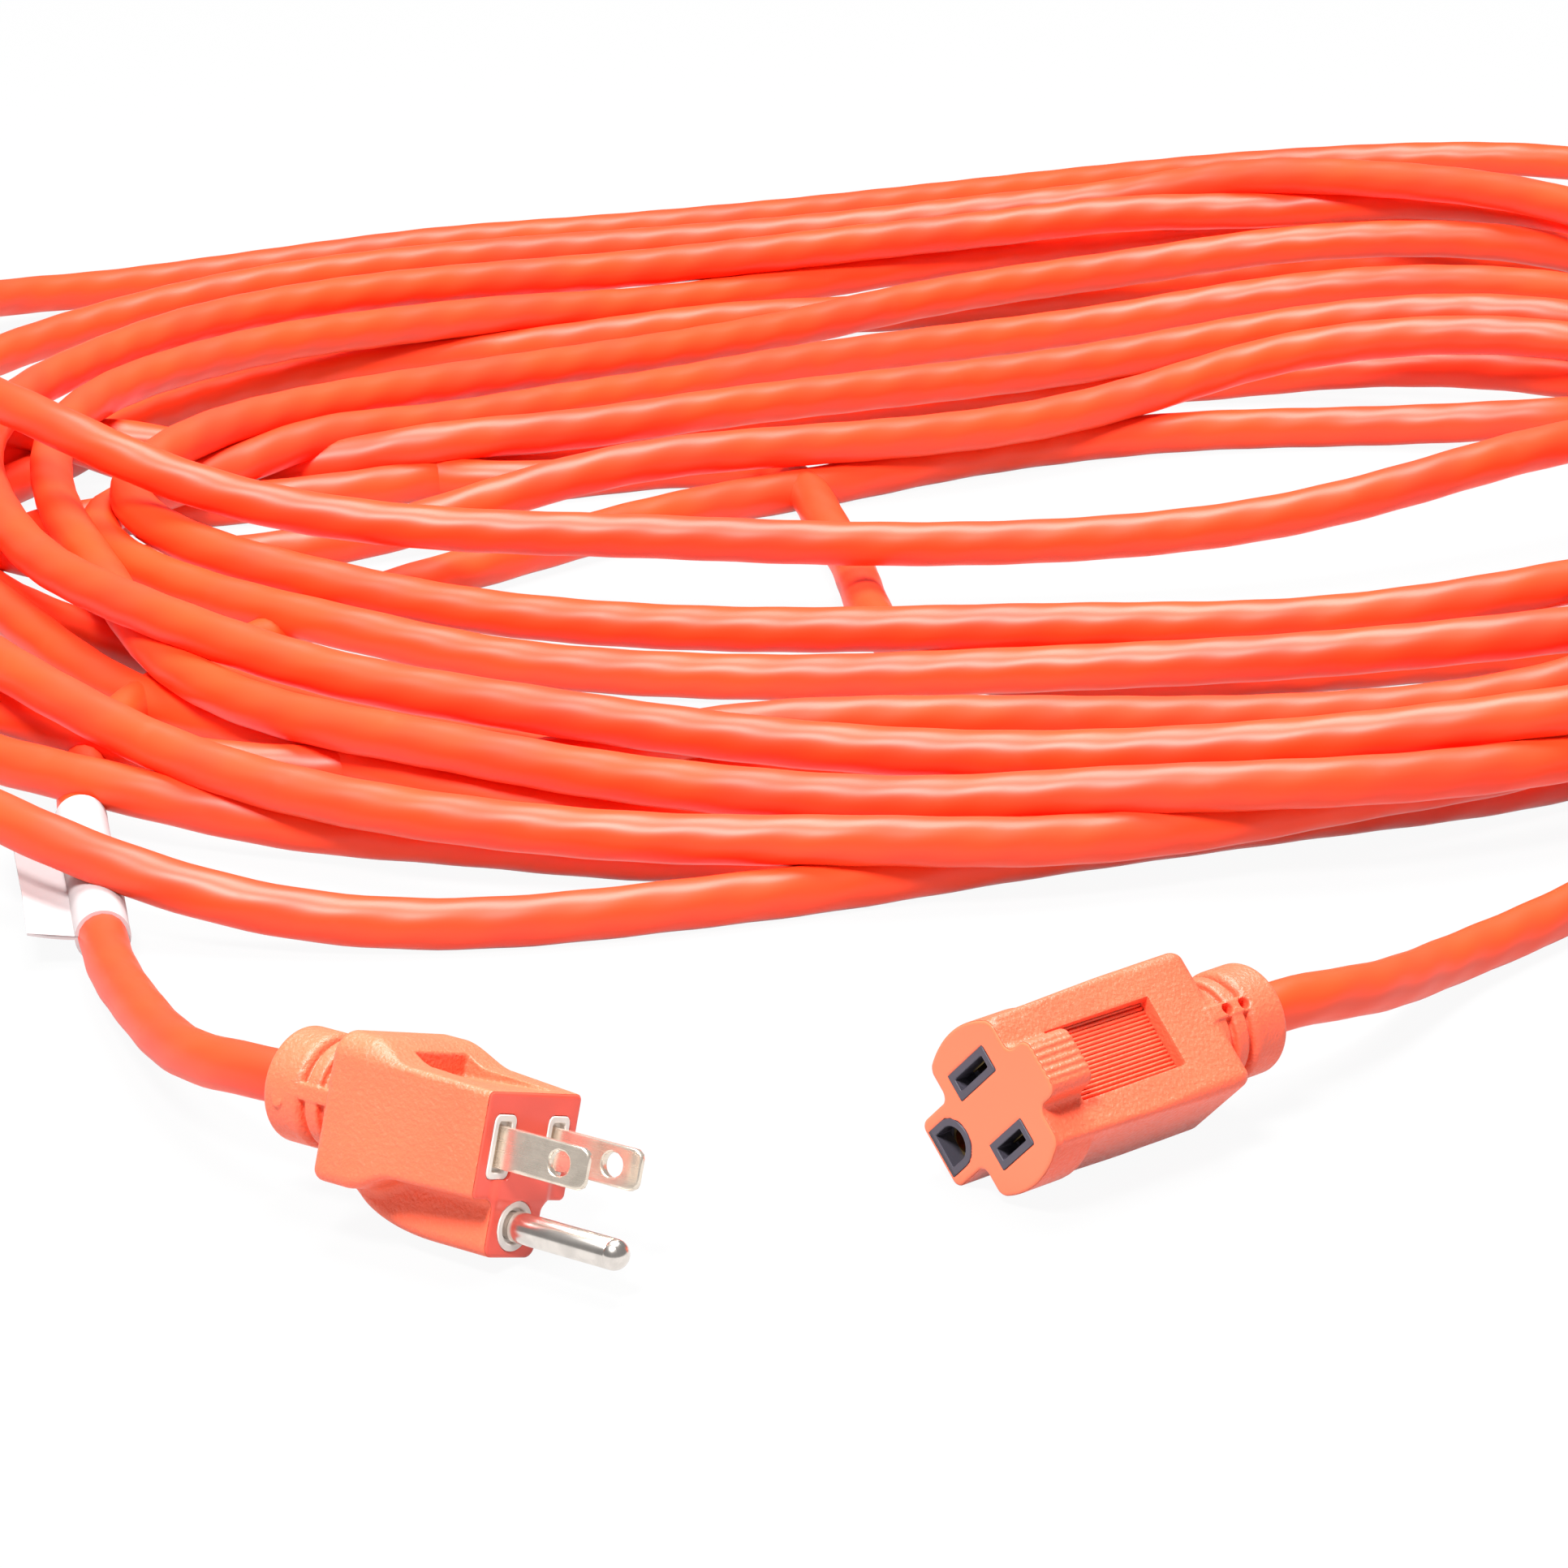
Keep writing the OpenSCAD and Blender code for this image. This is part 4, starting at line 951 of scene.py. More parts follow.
@dataclass
class Plug:
    """The moulded plug: overmould with its ringed neck, cream blade holder, two blades and ground pin.

    Its own axes start in the middle of its face: x points out of the face, y across and z up. All
    sizes are in millimetres.
    """

    length: float = 31.0            # from the face to the neck's first ring
    rear: float = 29.6              # from the face to the end of the grip
    neck: float = 15.0
    neck_lift: float = 0.5          # the neck's axis over the face's middle
    spacing: float = 6.35           # from the middle to each blade
    drop: float = 11.9              # from the middle down to the pin
    edge: float = 0.45              # the rounding round the face
    pocket_half: float = 6.3        # half the finger pocket's width
    pocket_rear: float = -19.6
    pocket_front: float = -2.0
    seat_depth: float = 2.5         # of the holder's seats in the face
    blade_length: float = 30.8
    blade_width: float = 6.35
    blade_middle: float = 1.4
    blade_half: float = 0.76        # half the blade's thickness
    hole_at: float = 11.7
    hole_radius: float = 1.95
    soft_edge: float = 0.32         # the rounding of a blade's edges
    pin_radius: float = 2.39
    pin_root: float = 2.19
    pin_tip: float = 21.7
    place: Placing = PLUG_PLACE

    def body_field(self, x: np.ndarray, y: np.ndarray, z: np.ndarray) -> np.ndarray:
        """Distance to the grip: a rounded section that widens and rises rearwards, the lobe below it.

        Args:
            x: along the end, 0 at the face and less behind it.
            y: across it.
            z: up.

        Returns:
            The distance, less than nought inside.
        """
        rise = s_curve((-15.0 - x) / 9.0)
        top = 8.3 + 0.6 * np.clip(-x / 15.0, 0, 1) + 3.1 * rise
        bottom = 8.0 + 0.2 * np.clip(-x / 15.0, 0, 1) + 3.0 * s_curve((-14.5 - x) / 8.5)
        half = 10.9 + 3.0 * np.clip(-x / 23.0, 0, 1)
        middle = (top - bottom) / 2
        corner = np.where(z > middle, 1.0 + 3.2 * rise, 1.0 + 0.9 * rise)
        section = box_distance(y, z - middle, half, (top + bottom) / 2, corner)
        body = meet(section, slab(x, -self.rear, 0.0), np.where(x > -12, self.edge, 1.9))
        return join(body, self.lobe_field(x, y, z), 1.8)

    def lobe_field(self, x: np.ndarray, y: np.ndarray, z: np.ndarray) -> np.ndarray:
        """Distance to the ground lobe: straight from the face, then an ellipse up into the grip.

        The ellipse is far (far - 1) / near, with far the length of (p / long, q / deep) and near that
        of (p / long^2, q / deep^2).

        Args:
            x: along the plug.
            y: across it.
            z: up.

        Returns:
            The distance.
        """
        long, deep = 17.0, 6.5
        p, q = np.minimum(x + 11.0, 0), np.minimum(z + 10.3, 0)
        far = np.hypot(p / long, q / deep)
        near = np.maximum(np.hypot(p / long ** 2, q / deep ** 2), 1e-4)
        side = np.where(far > 0.02, far * (far - 1) / near, -6.0)
        body = meet(side, np.abs(y) - 5.9, 1.9)
        return meet(np.maximum(body, z + 2.0), x, self.edge)

    def neck_field(self, x: np.ndarray, y: np.ndarray, z: np.ndarray) -> np.ndarray:
        """Distance to the ringed neck: a core with a collar, a ring and a root, a bar on each side."""
        return neck_field(x + self.length, y, z - self.neck_lift, self.neck, (0.0, 180.0))

    def field(self, x: np.ndarray, y: np.ndarray, z: np.ndarray) -> np.ndarray:
        """Distance to the whole overmould: pocket and holder's seats cut out, a small gate on the neck.

        Args:
            x: along the end, 0 at the face and less behind it.
            y: across it.
            z: up.

        Returns:
            The distance, less than nought inside.
        """
        solid = join(self.body_field(x, y, z), self.neck_field(x, y, z), 0.5)
        floor = 6.9 + 1.1 * (x - self.pocket_rear) / 16.1
        walls = meet(np.abs(y) - self.pocket_half, slab(x, self.pocket_rear, self.pocket_front), 0.5)
        solid = meet(solid, -meet(walls, floor - z, 0.35), 0.25)
        for side in (-self.spacing, self.spacing):
            seat = np.maximum(box_distance(y - side, z, 2.53, 4.93, 1.1), -self.seat_depth - x)
            solid = np.maximum(solid, -seat)
        ring = np.maximum(np.hypot(y, z + self.drop) - 3.92, -self.seat_depth - x)
        solid = np.maximum(solid, -ring)
        gate = meet(np.hypot(x + 42.6, z - self.neck_lift + 2.1) - 1.15, np.abs(y + 8.75) - 0.3, 0.12)
        return join(solid, gate, 0.15)

    def overmould(self, paint: Paint) -> bpy.types.Object:
        """Draws the overmould's skin and dresses it.

        Args:
            paint: the shared finishes.

        Returns:
            The overmould.
        """
        step = 0.3
        points, quads = FieldSolid(self.field, (-47.5, -15.5, -18.5), (1.5, 15.5, 14.0), step).skin()
        body = make_piece("plug_overmould", self.place.out(points), quads.tolist(), 50,
                          outward=False)
        finish = OvermouldFinish(self.place.origin(), self.place.way(0), (0.96, 0.1, 0.062),
                                 (0.97, 0.145, 0.066), "plug_vinyl")
        paint.use(body, finish)
        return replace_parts(body, "plug_body")

    def blade(self, name: str, side: float, paint: Paint) -> bpy.types.Object:
        """A flat blade with a hole: rings from the outline over the edge to the hole and back.

        Ring k lies between the outline and the hole at a share s of the way, at the height that the
        edge's rounding gives, and the plate thins towards its tip.

        Args:
            name: the piece's name.
            side: its y.
            paint: the shared finishes.

        Returns:
            The object.
        """
        count, thick, soft = 128, self.blade_half, self.soft_edge
        outline = outline_points(Outline.OBLONG, self.blade_length, self.blade_width, 1.45, count)
        outline = outline + [self.blade_middle, 0]
        bearing = np.arctan2(outline[:, 1], outline[:, 0] - self.hole_at)
        hole = self.hole_radius * np.stack([np.cos(bearing), np.sin(bearing)], -1) + [self.hole_at, 0]
        reach = np.linalg.norm(outline - hole, axis=1, keepdims=True)
        inward = (hole - outline) / reach
        turn = np.linspace(0, np.pi / 2, 4)
        rim = [(outline + inward * soft * (1 - math.cos(a)), thick - soft * (1 - math.sin(a)))
               for a in turn]
        flat = [(outline + inward * (soft + (reach - 2 * soft) * s), thick)
                for s in (0.25, 0.5, 0.75, 1.0)]
        bore = [(hole - inward * soft * (1 - math.sin(a)), thick - soft * (1 - math.cos(a)))
                for a in turn]
        top = rim + flat + bore
        loop = top + [(ring, -height) for ring, height in top[::-1]]
        points = []
        for ring, height in loop:
            taper = 1 - 0.42 * s_curve((ring[:, 0] - 15.0) / 2.0)
            points.append(np.column_stack([ring[:, 0], side + height * taper, ring[:, 1]]))
        faces = grid_faces(len(loop), count, close_rows=True).tolist()
        blade = make_piece(name + "_plated", self.place.out(np.vstack(points)), faces, 40)
        finish = MetalFinish("plated_blade", (0.95, 0.83, 0.7), 0.16, self.place.way(0),
                             self.place.way(2), metallic=0.85)
        paint.use(blade, finish)
        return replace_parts(blade, name)

    def pin(self, paint: Paint) -> bpy.types.Object:
        """The round ground pin: a profile turned about its axis, a shallow seam along its underside.

        Args:
            paint: the shared finishes.

        Returns:
            The pin.
        """
        radius, root, count = self.pin_radius, self.pin_root, 72
        profile = [(-13.9, root), (0.3, root), (0.5, 2.3), (0.6, radius), (18.9, radius),
                   (19.0, 2.33), (19.12, radius)]
        profile += [(self.pin_tip - radius + radius * math.sin(v), max(radius * math.cos(v), 0.02))
                    for v in np.linspace(0, np.pi / 2, 12)]
        xs, rs = np.array(profile).T
        angle = np.linspace(0, 2 * np.pi, count, endpoint=False)
        seam = 0.16 * np.exp(-(((angle - 1.5 * np.pi) / 0.09) ** 2))
        dip = np.where((xs > 1) & (xs < 19), 1.0, 0.0)
        r = rs[:, None] - seam[None] * dip[:, None]
        local = np.stack([np.repeat(xs[:, None], count, 1), r * np.cos(angle),
                          r * np.sin(angle) - self.drop], -1)
        points, faces = capped(local.reshape(-1, 3), len(xs), count)
        pin = make_piece("ground_pin_plated", self.place.out(points), faces, 40)
        finish = MetalFinish("plated_pin", (0.9, 0.83, 0.77), 0.12, self.place.way(0), self.place.way(1))
        paint.use(pin, finish)
        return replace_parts(pin, "ground_pin")

    def holder(self, paint: Paint) -> list[bpy.types.Object]:
        """The cream block's visible parts: a frame round each blade and a ring round the pin.

        Args:
            paint: the shared finishes.

        Returns:
            The two frames and the ring.
        """
        finish = PlainFinish("cream_plastic", (0.84, 0.77, 0.72), 0.38, 0.015)
        made = []
        # width, height, corner and x of each ring, from the outer foot over the face to the inner foot
        oblongs = ((5.0, 9.8, 1.1, -2.4), (5.0, 9.8, 1.1, 0.02), (4.76, 9.56, 1.0, 0.14),
                   (3.2, 8.0, 0.6, 0.14), (3.0, 7.8, 0.5, 0.0), (2.9, 7.6, 0.5, -0.85),
                   (1.6, 6.4, 0.3, -0.95), (1.5, 6.3, 0.3, -2.4))
        rings = [(outline_points(Outline.OBLONG, wide, high, r), x) for wide, high, r, x in oblongs]
        for name, side in (("blade_frame_near", -self.spacing), ("blade_frame_far", self.spacing)):
            made.append(rings_piece(name, self.place, rings, (side, 0.0)))
        # radius and x of each ring, in the same order
        circles = ((3.9, -2.4), (3.9, 0.02), (3.78, 0.14), (2.95, 0.14), (2.78, 0.0), (2.68, -0.6),
                   (2.2, -0.7), (2.18, -2.4))
        rings = [(outline_points(Outline.ROUND, 2 * r, 2 * r, r), x) for r, x in circles]
        made.append(rings_piece("pin_ring", self.place, rings, (0.0, -self.drop)))
        for piece in made:
            paint.use(piece, finish)
        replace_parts(made[0], "plug_blade_holder")
        return made

    def build(self, paint: Paint) -> list[bpy.types.Object]:
        """Builds every piece of the plug.

        Args:
            paint: the shared finishes.

        Returns:
            The pieces.
        """
        return [self.overmould(paint), self.blade("line_blade", -self.spacing, paint),
                self.blade("neutral_blade", self.spacing, paint), self.pin(paint),
                *self.holder(paint)]


def neck_field(x: np.ndarray, y: np.ndarray, z: np.ndarray, length: float,
               bars: Sequence[float]) -> np.ndarray:
    """Distance to a ringed neck that runs from x = 0 back to x = -length about the x axis.

    Args:
        x: along the neck.
        y: across it.
        z: up from its axis.
        length: its length.
        bars: the bearings of the small bars across its grooves, in degrees.

    Returns:
        The distance.
    """
    core, bore, groove, ring = 7.55, 4.75, 1.05, 2.55
    r = np.hypot(y, z)
    collar_end = -length / 2
    ring_end = collar_end + groove + ring
    solid = meet(r - core, slab(x, -length + 0.8, 2.0), 0.4)
    for low, high, radius, edge in (
            (-length, collar_end, 9.1, 1.3),
            (collar_end + groove, ring_end, 8.75, 0.45),
            (ring_end + groove, 2.0, 8.45, 0.45)):
        solid = join(solid, meet(r - radius, slab(x, low, high), edge), 0.2)
    solid = np.maximum(solid, -np.maximum(r - bore, x + length - 0.7))
    for bearing in bars:
        a = math.radians(bearing)
        out = y * math.cos(a) + z * math.sin(a)
        wide = -y * math.sin(a) + z * math.cos(a)
        bar = meet(np.abs(wide) - 1.3, np.abs(out - 7.7) - 1.15, 0.3)
        solid = join(solid, meet(bar, slab(x, collar_end - 0.3, 0.5), 0.3), 0.25)
    return solid


# ---------------------------------------------------------------- connector


@dataclass
class Connector:
    """The moulded connector: lobed flange, ribbed recess, ringed neck and dark rims round its openings.

    Its own axes start in the middle of its face, as the plug's do, with sizes in millimetres.
    """

    length: float = 41.0            # from the face to the neck's first ring
    rear: float = 43.2              # from the face to the end of the body
    neck: float = 15.0
    neck_lift: float = 0.8          # the neck's axis over the face's middle
    spacing: float = 6.35           # from the middle to each slot
    drop: float = 11.9              # from the middle down to the ground opening
    flange: float = 8.7             # the flange's thickness
    recess_reach: float = 31.2      # from the face to the recess's rear
    recess_half: float = 6.1        # half the recess's width
    ribs: int = 17
    rib_half: float = 6.0           # half the ribbed width
    long_slot: float = 8.0
    short_slot: float = 6.8
    seat_depth: float = 12.0        # of the openings in the face
    rim_wall: float = 2.4
    place: Placing = CONNECTOR_PLACE

    def flange_field(self, x: np.ndarray, y: np.ndarray, z: np.ndarray) -> np.ndarray:
        """Distance to the flange: two arcs that meet the flat top and bottom, with a lobe on each.

        Args:
            x: along the end, 0 at the face and less behind it.
            y: across it.
            z: up.

        Returns:
            The distance, less than nought inside.
        """
        arc, apart = 16.0, 2.4
        lens = np.maximum(np.hypot(y + apart, z) - arc, np.hypot(y - apart, z) - arc)
        flat = meet(lens, slab(z, -8.2, 9.5), 1.1)
        ground = box_distance(y, z + 8.15, 5.9, 8.15, 1.5)
        top = box_distance(y, z - 7.4, 4.9, 7.4, 2.4)
        outline = join(join(flat, ground, 1.6), top, 1.6)
        fluted = s_curve((3.6 - np.abs(y)) / 0.6) * s_curve(z - 13)
        flutes = 0.11 * (np.cos(2 * np.pi * y / 1.25) - 1) * fluted
        return meet(outline - flutes, slab(x, -self.flange, 0.0), 0.45)

    def body_field(self, x: np.ndarray, y: np.ndarray, z: np.ndarray) -> np.ndarray:
        """Distance to the body behind the flange: a box rounded along and at its rear, with the lobe.

        Args:
            x: along the end, 0 at the face and less behind it.
            y: across it.
            z: up.

        Returns:
            The distance, less than nought inside.
        """
        half = 11.3 + 0.9 * np.clip(-x / 33.0, 0, 1)
        section = box_distance(y, z - 0.65, half, 8.85, 1.0 + 0.9 * s_curve((-22.0 - x) / 12.0))
        body = meet(section, slab(x, -self.rear, -1.0), np.where(x < -20, 2.9, 0.3))
        depth = 15.8 - 8.1 * s_curve((-18.0 - x) / 15.0)
        lobe = box_distance(y, z + depth / 2, 5.5, depth / 2, 2.3)
        return join(body, np.maximum(lobe, slab(x, -34.0, -1.0)), 1.5)

    def recess_floor(self, x: np.ndarray) -> np.ndarray:
        """The height of the recess's floor, which falls towards the rear."""
        return 7.75 + (x + self.flange) / 22.5

    def field(self, x: np.ndarray, y: np.ndarray, z: np.ndarray) -> np.ndarray:
        """Distance to the whole overmould, with the recess, the rims' seats and two dimples cut out.

        Args:
            x: along the end, 0 at the face and less behind it.
            y: across it.
            z: up.

        Returns:
            The distance, less than nought inside.
        """
        solid = join(self.flange_field(x, y, z), self.body_field(x, y, z), 0.35)
        neck = neck_field(x + self.length, y, z - self.neck_lift, self.neck, (90.0,))
        solid = join(solid, neck, 0.6)
        walls = meet(np.abs(y) - self.recess_half, slab(x, -self.recess_reach, -self.flange), 0.25)
        solid = meet(solid, -meet(walls, self.recess_floor(x) - z, 0.2), 0.25)
        for side, long in ((-self.spacing, self.long_slot), (self.spacing, self.short_slot)):
            seat = box_distance(y - side, z, 2.28, long / 2 + 1.23, 0.35)
            solid = np.maximum(solid, -np.maximum(seat, -self.seat_depth - x))
        dee = np.where(z + self.drop > 0, np.hypot(y, z + self.drop) - 4.08,
                       box_distance(y, z + self.drop + 1.87, 4.08, 1.9, 0.3))
        solid = np.maximum(solid, -np.maximum(dee, -self.seat_depth - x))
        for back in (2.3, 6.0):
            hole = meet(np.hypot(x + self.length + back + 1.4, y) - 1.0, 6.2 - z, 0.2)
            solid = meet(solid, -hole, 0.2)
        return solid

    def overmould(self, paint: Paint) -> bpy.types.Object:
        """Draws the overmould's skin and dresses it.

        Args:
            paint: the shared finishes.

        Returns:
            The overmould.
        """
        step = 0.3
        points, quads = FieldSolid(self.field, (-57.5, -15.0, -18.0), (1.5, 15.0, 16.5), step).skin()
        body = make_piece("connector_overmould", self.place.out(points), quads.tolist(), 50,
                          outward=False)
        finish = OvermouldFinish(self.place.origin(), self.place.way(0), (0.97, 0.185, 0.085),
                                 name="connector_vinyl")
        paint.use(body, finish)
        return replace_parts(body, "connector_body")

    def rib_plate(self, paint: Paint) -> bpy.types.Object:
        """The ribbed floor of the finger recess: one section of round-topped ribs carried along x.

        The height over the floor is the rib's height times |cos| of the place across the ribs, to the
        power 0.6. The plate reaches 0.8 mm below the floor.

        Args:
            paint: the shared finishes.

        Returns:
            The plate.
        """
        per_rib, high, half = 10, 0.52, self.rib_half
        y = np.linspace(-half, half, self.ribs * per_rib + 1)
        crest = high * np.abs(np.cos(np.pi * (y + half) / (2 * half) * self.ribs)) ** 0.6
        foot = np.column_stack([y[::-1][[0, -1]], [-0.8, -0.8]])
        ring = np.vstack([np.column_stack([y, crest]), foot])
        rear, front = -self.recess_reach + 0.1, -self.flange - 0.1
        xs = np.concatenate([[rear], np.linspace(rear + 0.05, front, 24)])
        floor = self.recess_floor(xs) + 0.03
        local = np.stack([np.repeat(xs[:, None], len(ring), 1), np.repeat(ring[None, :, 0], len(xs), 0),
                          floor[:, None] + ring[None, :, 1]], -1)
        points, faces = capped(local.reshape(-1, 3), len(xs), len(ring))
        plate = make_piece("grip_ribs", self.place.out(points), faces, 60)
        finish = OvermouldFinish(NO_FACE, (1.0, 0.0, 0.0), (0.96, 0.122, 0.055), name="rib_vinyl")
        paint.use(plate, finish)
        return plate

    def rims(self, paint: Paint) -> list[bpy.types.Object]:
        """The dark rims round the two slots and the ground hole.

        Args:
            paint: the shared finishes.

        Returns:
            The three rims.
        """
        finish = PlainFinish("dark_plastic", (0.075, 0.066, 0.09), 0.42, 0.03)
        made = []
        for name, kind, wide, high, middle in (
                ("long_slot_rim", Outline.OBLONG, 2.1, self.long_slot, (-self.spacing, 0.0)),
                ("short_slot_rim", Outline.OBLONG, 2.1, self.short_slot, (self.spacing, 0.0)),
                ("ground_hole_rim", Outline.DEE, 5.7, 5.4, (0.0, -self.drop))):
            made.append(rings_piece(name, self.place, self._rim(kind, wide, high), middle))
        for piece in made:
            paint.use(piece, finish)
        return made

    def _rim(self, kind: Outline, width: float, height: float) -> list[tuple[np.ndarray, float]]:
        """The rings of one rim, from its outer foot over its face to its inner foot.

        Args:
            kind: the opening's outline.
            width: the opening's width.
            height: its height.

        Returns:
            Outlines of (y, z), each with its x.
        """
        wall, upright = self.rim_wall, 0.75 if kind is Outline.DEE else 1.0
        # growth, corner and x of each ring
        steps = ((wall, 0.35, -2.4), (wall, 0.35, 0.0), (wall - 0.2, 0.3, 0.1), (0.24, 0.2, 0.1),
                 (0.04, 0.15, 0.0), (0.0, 0.12, -0.2), (0.0, 0.12, -2.9), (0.6, 0.2, -2.9))
        return [(outline_points(kind, width + grow, height + grow * upright, r), x)
                for grow, r, x in steps]

    def build(self, paint: Paint) -> list[bpy.types.Object]:
        """Builds every piece of the connector.

        Args:
            paint: the shared finishes.

        Returns:
            The pieces.
        """
        return [self.overmould(paint), self.rib_plate(paint), *self.rims(paint)]


# ---------------------------------------------------------------- label


@dataclass
class Label:
    """The bare paper label folded round the plug's lead: a close wrap and a two-ply flag."""

    from_plug: float = 105.5        # along the lead from the plug's end of the line
    length: float = 62.0
    wrap: float = 4.8               # the radius of the close wrap
    flag: float = 8.0               # how far the flag stands out
    lift: float = 0.9               # how far the flag's edge rises
    ply: float = 0.2                # the gap between the plies, halved

    def build(self, paint: Paint, line: np.ndarray) -> bpy.types.Object:
        """Carries the label's section along the lead.

        The section runs in along the flag's upper ply, round the cord and back along the lower ply.
        The flag rises towards its edge and curls a little from end to end.

        Args:
            paint: the shared finishes.
            line: the cord's centreline in millimetres, which ends at the plug.

        Returns:
            The label.
        """
        line = line[::-1]
        far = Cord.along(line)
        rows = np.linspace(self.from_plug, self.from_plug + self.length, 34)
        middle = np.stack([np.interp(rows, far, line[:, k]) for k in range(3)], -1)
        side, up = Cord.sides_of(middle)
        turn = np.radians(np.linspace(8, 352, 48))
        circle = self.wrap * np.stack([np.cos(turn), np.sin(turn)], -1)
        flag = np.linspace(1, 0, 10)[:, None]
        points = []
        for row in range(len(rows)):
            u = row / (len(rows) - 1)
            curl = 0.7 * math.sin(5.0 * u + 0.6) + 0.4 * math.sin(11.0 * u)
            strip = np.hstack([self.wrap + self.flag * flag, (curl + self.lift) * flag ** 1.5])
            section = np.vstack([strip + [0, self.ply], circle, (strip - [0, self.ply])[::-1]])
            points.append(middle[row] - section[:, :1] * side[row] + section[:, 1:] * up[row])
        count = len(points[0])
        cloud, faces = capped(np.vstack(points), len(rows), count)
        label = make_piece("paper_label", cloud, faces, 40)
        finish = PlainFinish("label_paper", (0.47, 0.43, 0.43), 0.55, 0.02, 1500.0, 0.04)
        paint.use(label, finish)
        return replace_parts(label, "cord_label")


# ---------------------------------------------------------------- stage


WHITE = (1.0, 1.0, 1.0, 1.0)


@dataclass(frozen=True)
class Lamp:
    """A round lamp turned towards a point. Places and size are in metres."""

    name: str
    at: tuple[float, float, float]
    aim: tuple[float, float, float]
    size: float
    watts: float

    def build(self) -> None:
        """Makes the lamp, whose own -z axis points from its place to its aim."""
        data = bpy.data.lights.new(self.name, "AREA")
        data.shape, data.size, data.energy = "DISK", self.size, self.watts
        lamp = bpy.data.objects.new(self.name, data)
        lamp.location = self.at
        way = np.array(self.aim) - np.array(self.at)
        lamp.rotation_euler = (math.atan2(math.hypot(way[0], way[1]), -way[2]), 0.0,
                               math.atan2(-way[0], way[1]))
        bpy.context.scene.collection.objects.link(lamp)


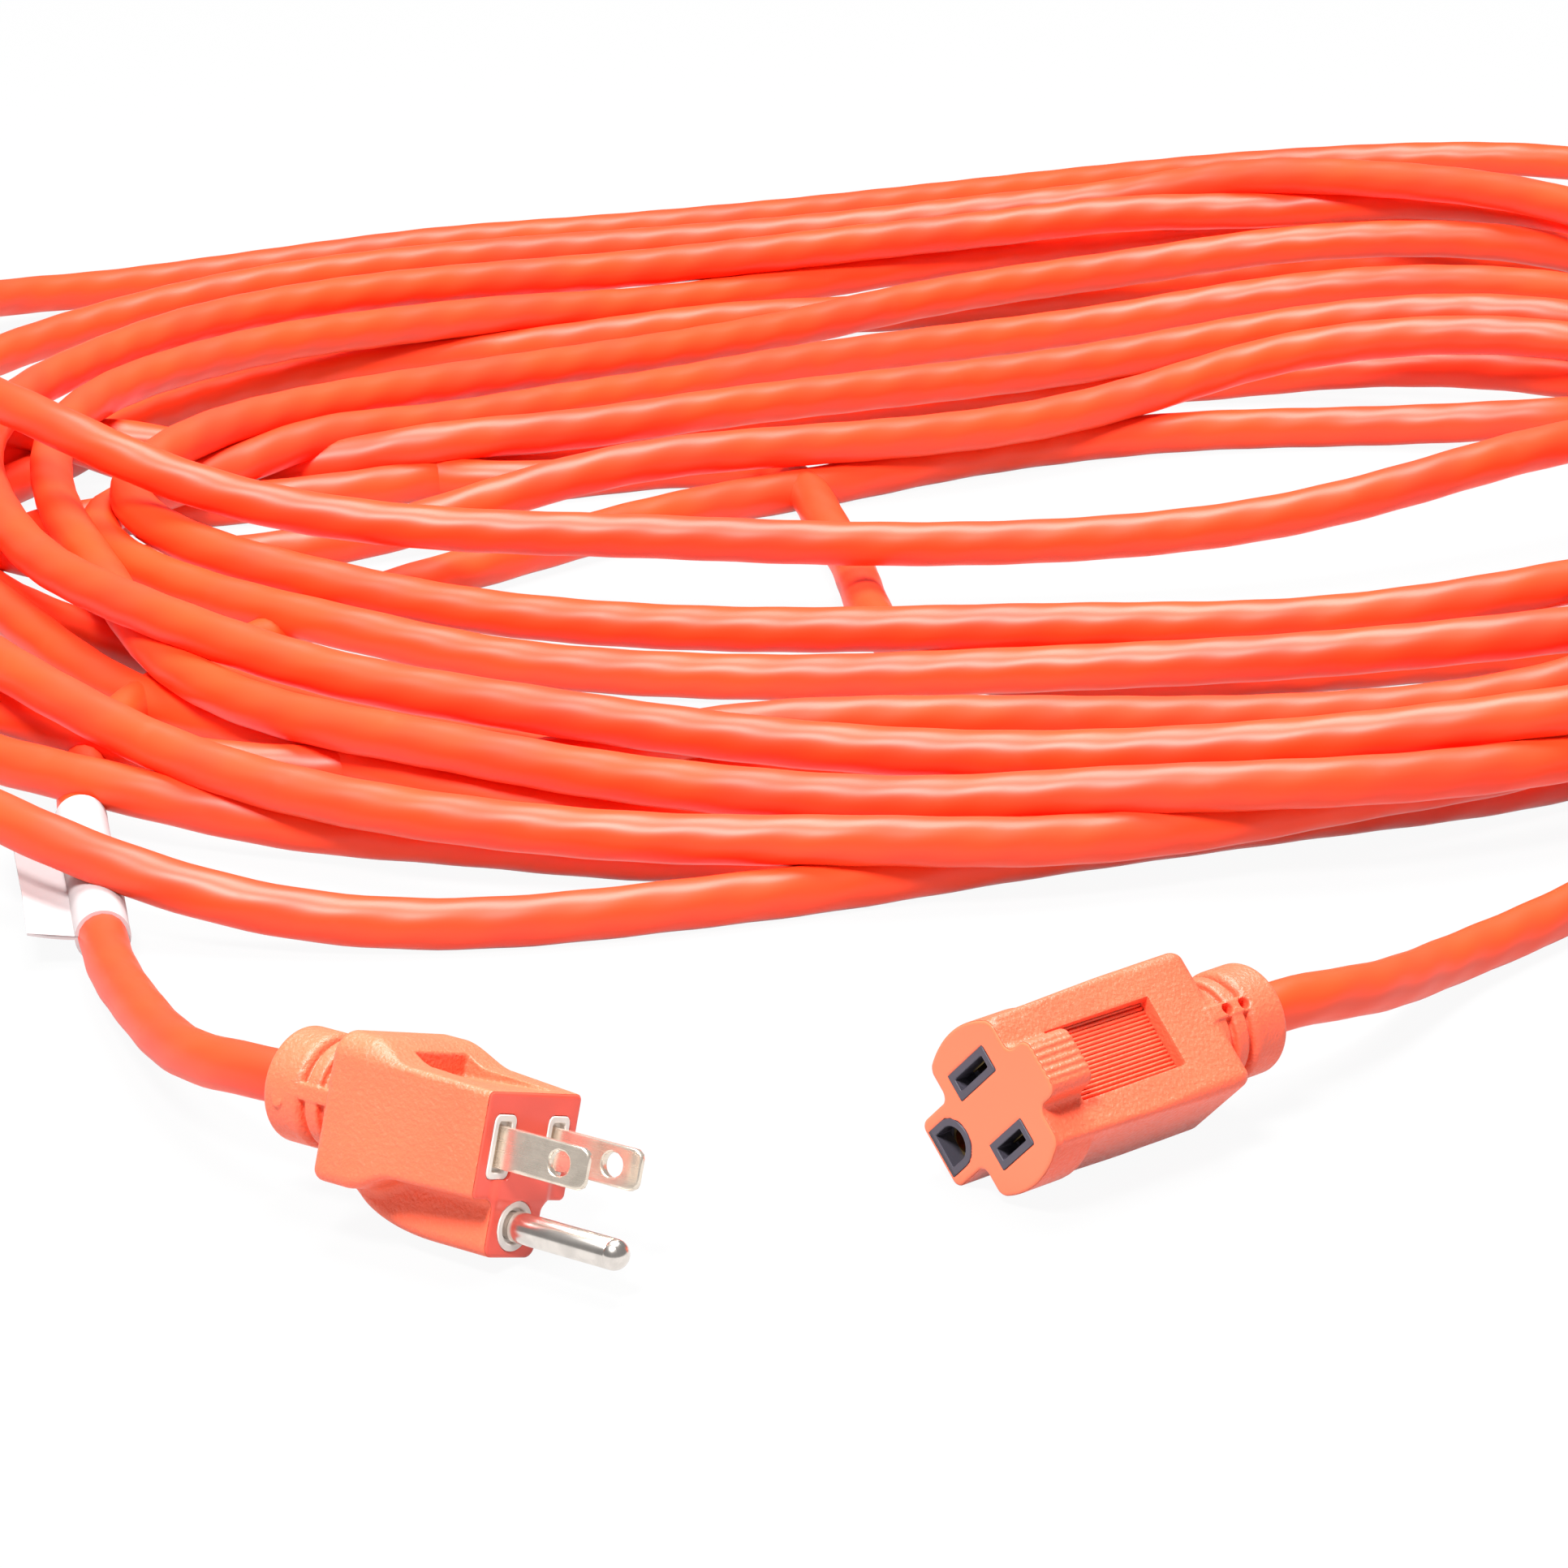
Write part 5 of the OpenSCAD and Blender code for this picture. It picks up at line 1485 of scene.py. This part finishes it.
@dataclass
class Studio:
    """A plain white floor, soft light all round, a lamp in front, a lamp behind, and the camera."""

    camera_at: tuple[float, float, float] = (0.00004, -0.80616, 0.3448)
    camera_tilt: float = 70.98
    lens: float = 130.4
    sensor: float = 36.0
    clip: tuple[float, float] = (0.01, 50.0)
    floor_half: float = 30.0
    floor_grey: float = 0.4
    floor_glow: float = 0.94        # the share of the floor that is plain white to the camera
    ambient: float = 0.25           # the surroundings' strength as light
    lamps: tuple[Lamp, ...] = (
        Lamp("key_lamp", (-0.35, -0.65, 1.35), (0.0, 0.15, 0.0), 0.4, 42.0),
        Lamp("top_lamp", (0.1, 0.55, 1.6), (0.0, 0.25, 0.0), 1.0, 51.0),
    )

    def camera(self) -> None:
        """Makes the camera and sets it as the scene's."""
        data = bpy.data.cameras.new("camera")
        data.sensor_width = self.sensor
        data.lens = self.lens
        data.clip_start, data.clip_end = self.clip
        camera = bpy.data.objects.new("camera", data)
        camera.location = self.camera_at
        camera.rotation_euler = (math.radians(self.camera_tilt), 0.0, 0.0)
        bpy.context.scene.collection.objects.link(camera)
        bpy.context.scene.camera = camera

    def floor(self) -> None:
        """A wide flat floor that the camera sees as white under a faint shadow."""
        mesh = bpy.data.meshes.new("floor")
        far = self.floor_half
        corners = [(-far, -far, 0), (far, -far, 0), (far, far, 0), (-far, far, 0)]
        mesh.from_pydata(corners, [], [(0, 1, 2, 3)])
        floor = bpy.data.objects.new("floor", mesh)
        bpy.context.scene.collection.objects.link(floor)
        book = NodeBook(bpy.data.materials.new("floor_white"))
        path = book.node("ShaderNodeLightPath", {}, {})
        seen = Signal(book, path.outputs["Is Camera Ray"]) + Signal(book, path.outputs["Is Glossy Ray"])
        matt = book.add("ShaderNodeBsdfDiffuse", {}, {"Color": (*[self.floor_grey] * 3, 1.0)})
        glow = book.add("ShaderNodeEmission", {}, {"Color": WHITE, "Strength": 1.0})
        share = seen.step(0.0, 1.0) * self.floor_glow
        book.end(book.node("ShaderNodeMixShader", {}, {0: share, 1: matt, 2: glow}))
        mesh.materials.append(book.owner)

    def light(self) -> None:
        """Soft light from the surroundings, which the camera sees as white, and the lamps."""
        world = bpy.data.worlds.new("surroundings")
        bpy.context.scene.world = world
        book = NodeBook(world)
        path = book.node("ShaderNodeLightPath", {}, {})
        strength = Signal(book, path.outputs["Is Camera Ray"]) * (1.0 - self.ambient) + self.ambient
        book.end(book.node("ShaderNodeBackground", {}, {"Color": WHITE, "Strength": strength}))
        for lamp in self.lamps:
            lamp.build()

    def build(self) -> None:
        """Sets the view and builds the stage."""
        bpy.context.scene.view_settings.view_transform = "Standard"
        self.camera()
        self.floor()
        self.light()


# ---------------------------------------------------------------- inner pieces


def dress_inner(paint: Paint) -> list[str]:
    """Gives each carried-over inner node its own finish and returns their names.

    Args:
        paint: the shared finishes.

    Returns:
        The nodes' names, sorted.
    """
    plug_way, plug_side = PLUG_PLACE.way(0), PLUG_PLACE.way(1)
    outlet_way, outlet_side = CONNECTOR_PLACE.way(0), CONNECTOR_PLACE.way(1)
    colours = {"line": (0.02, 0.02, 0.022), "neutral": (0.78, 0.78, 0.74), "ground": (0.03, 0.24, 0.07)}
    carrier = PlainFinish("carrier_plastic", (0.05, 0.045, 0.06), 0.45, 0.03)
    finishes: dict[str, tuple[Finish, str]] = {"contact_carrier": (carrier, "dark_plastic")}
    for end, way, side in (("plug", plug_way, plug_side), ("connector", outlet_way, outlet_side)):
        for wire, colour in colours.items():
            slot = {"line": "black", "neutral": "white", "ground": "green"}[wire] + "_insulation"
            finishes[f"{end}_{wire}_wire"] = (PlainFinish(f"{wire}_insulation", colour, 0.4), slot)
            finishes[f"{end}_{wire}_core"] = (
                MetalFinish(f"{end}_copper", (0.78, 0.36, 0.2), 0.25, way, side, 0.05), "copper")
    brass = MetalFinish("contact_brass", (0.62, 0.44, 0.18), 0.3, outlet_way, outlet_side)
    for wire in colours:
        finishes[f"{wire}_contact"] = (brass, "contact_brass")
    for name, (finish, slot) in finishes.items():
        paint.use(frame["nodes"][name], finish)
    return sorted(finishes)


def main() -> None:
    """Builds the scene: view and cord first, then both ends, the label and the inner pieces."""
    logging.basicConfig(level=logging.INFO, format="%(name)s: %(message)s")
    paint = Paint()
    Studio().build()
    cord, line = Cord().build(paint)
    plug = Plug().build(paint)
    label = Label().build(paint, line / MM)
    connector = Connector().build(paint)
    inner = dress_inner(paint)
    on_cord = plug + [label] + [frame["nodes"][n] for n in inner if n.startswith("plug_")]
    for piece in [cord, *plug, label, *connector]:
        LOG.info("%s: %d faces", piece.name, len(piece.data.polygons))


if __name__ == "__main__":
    main()
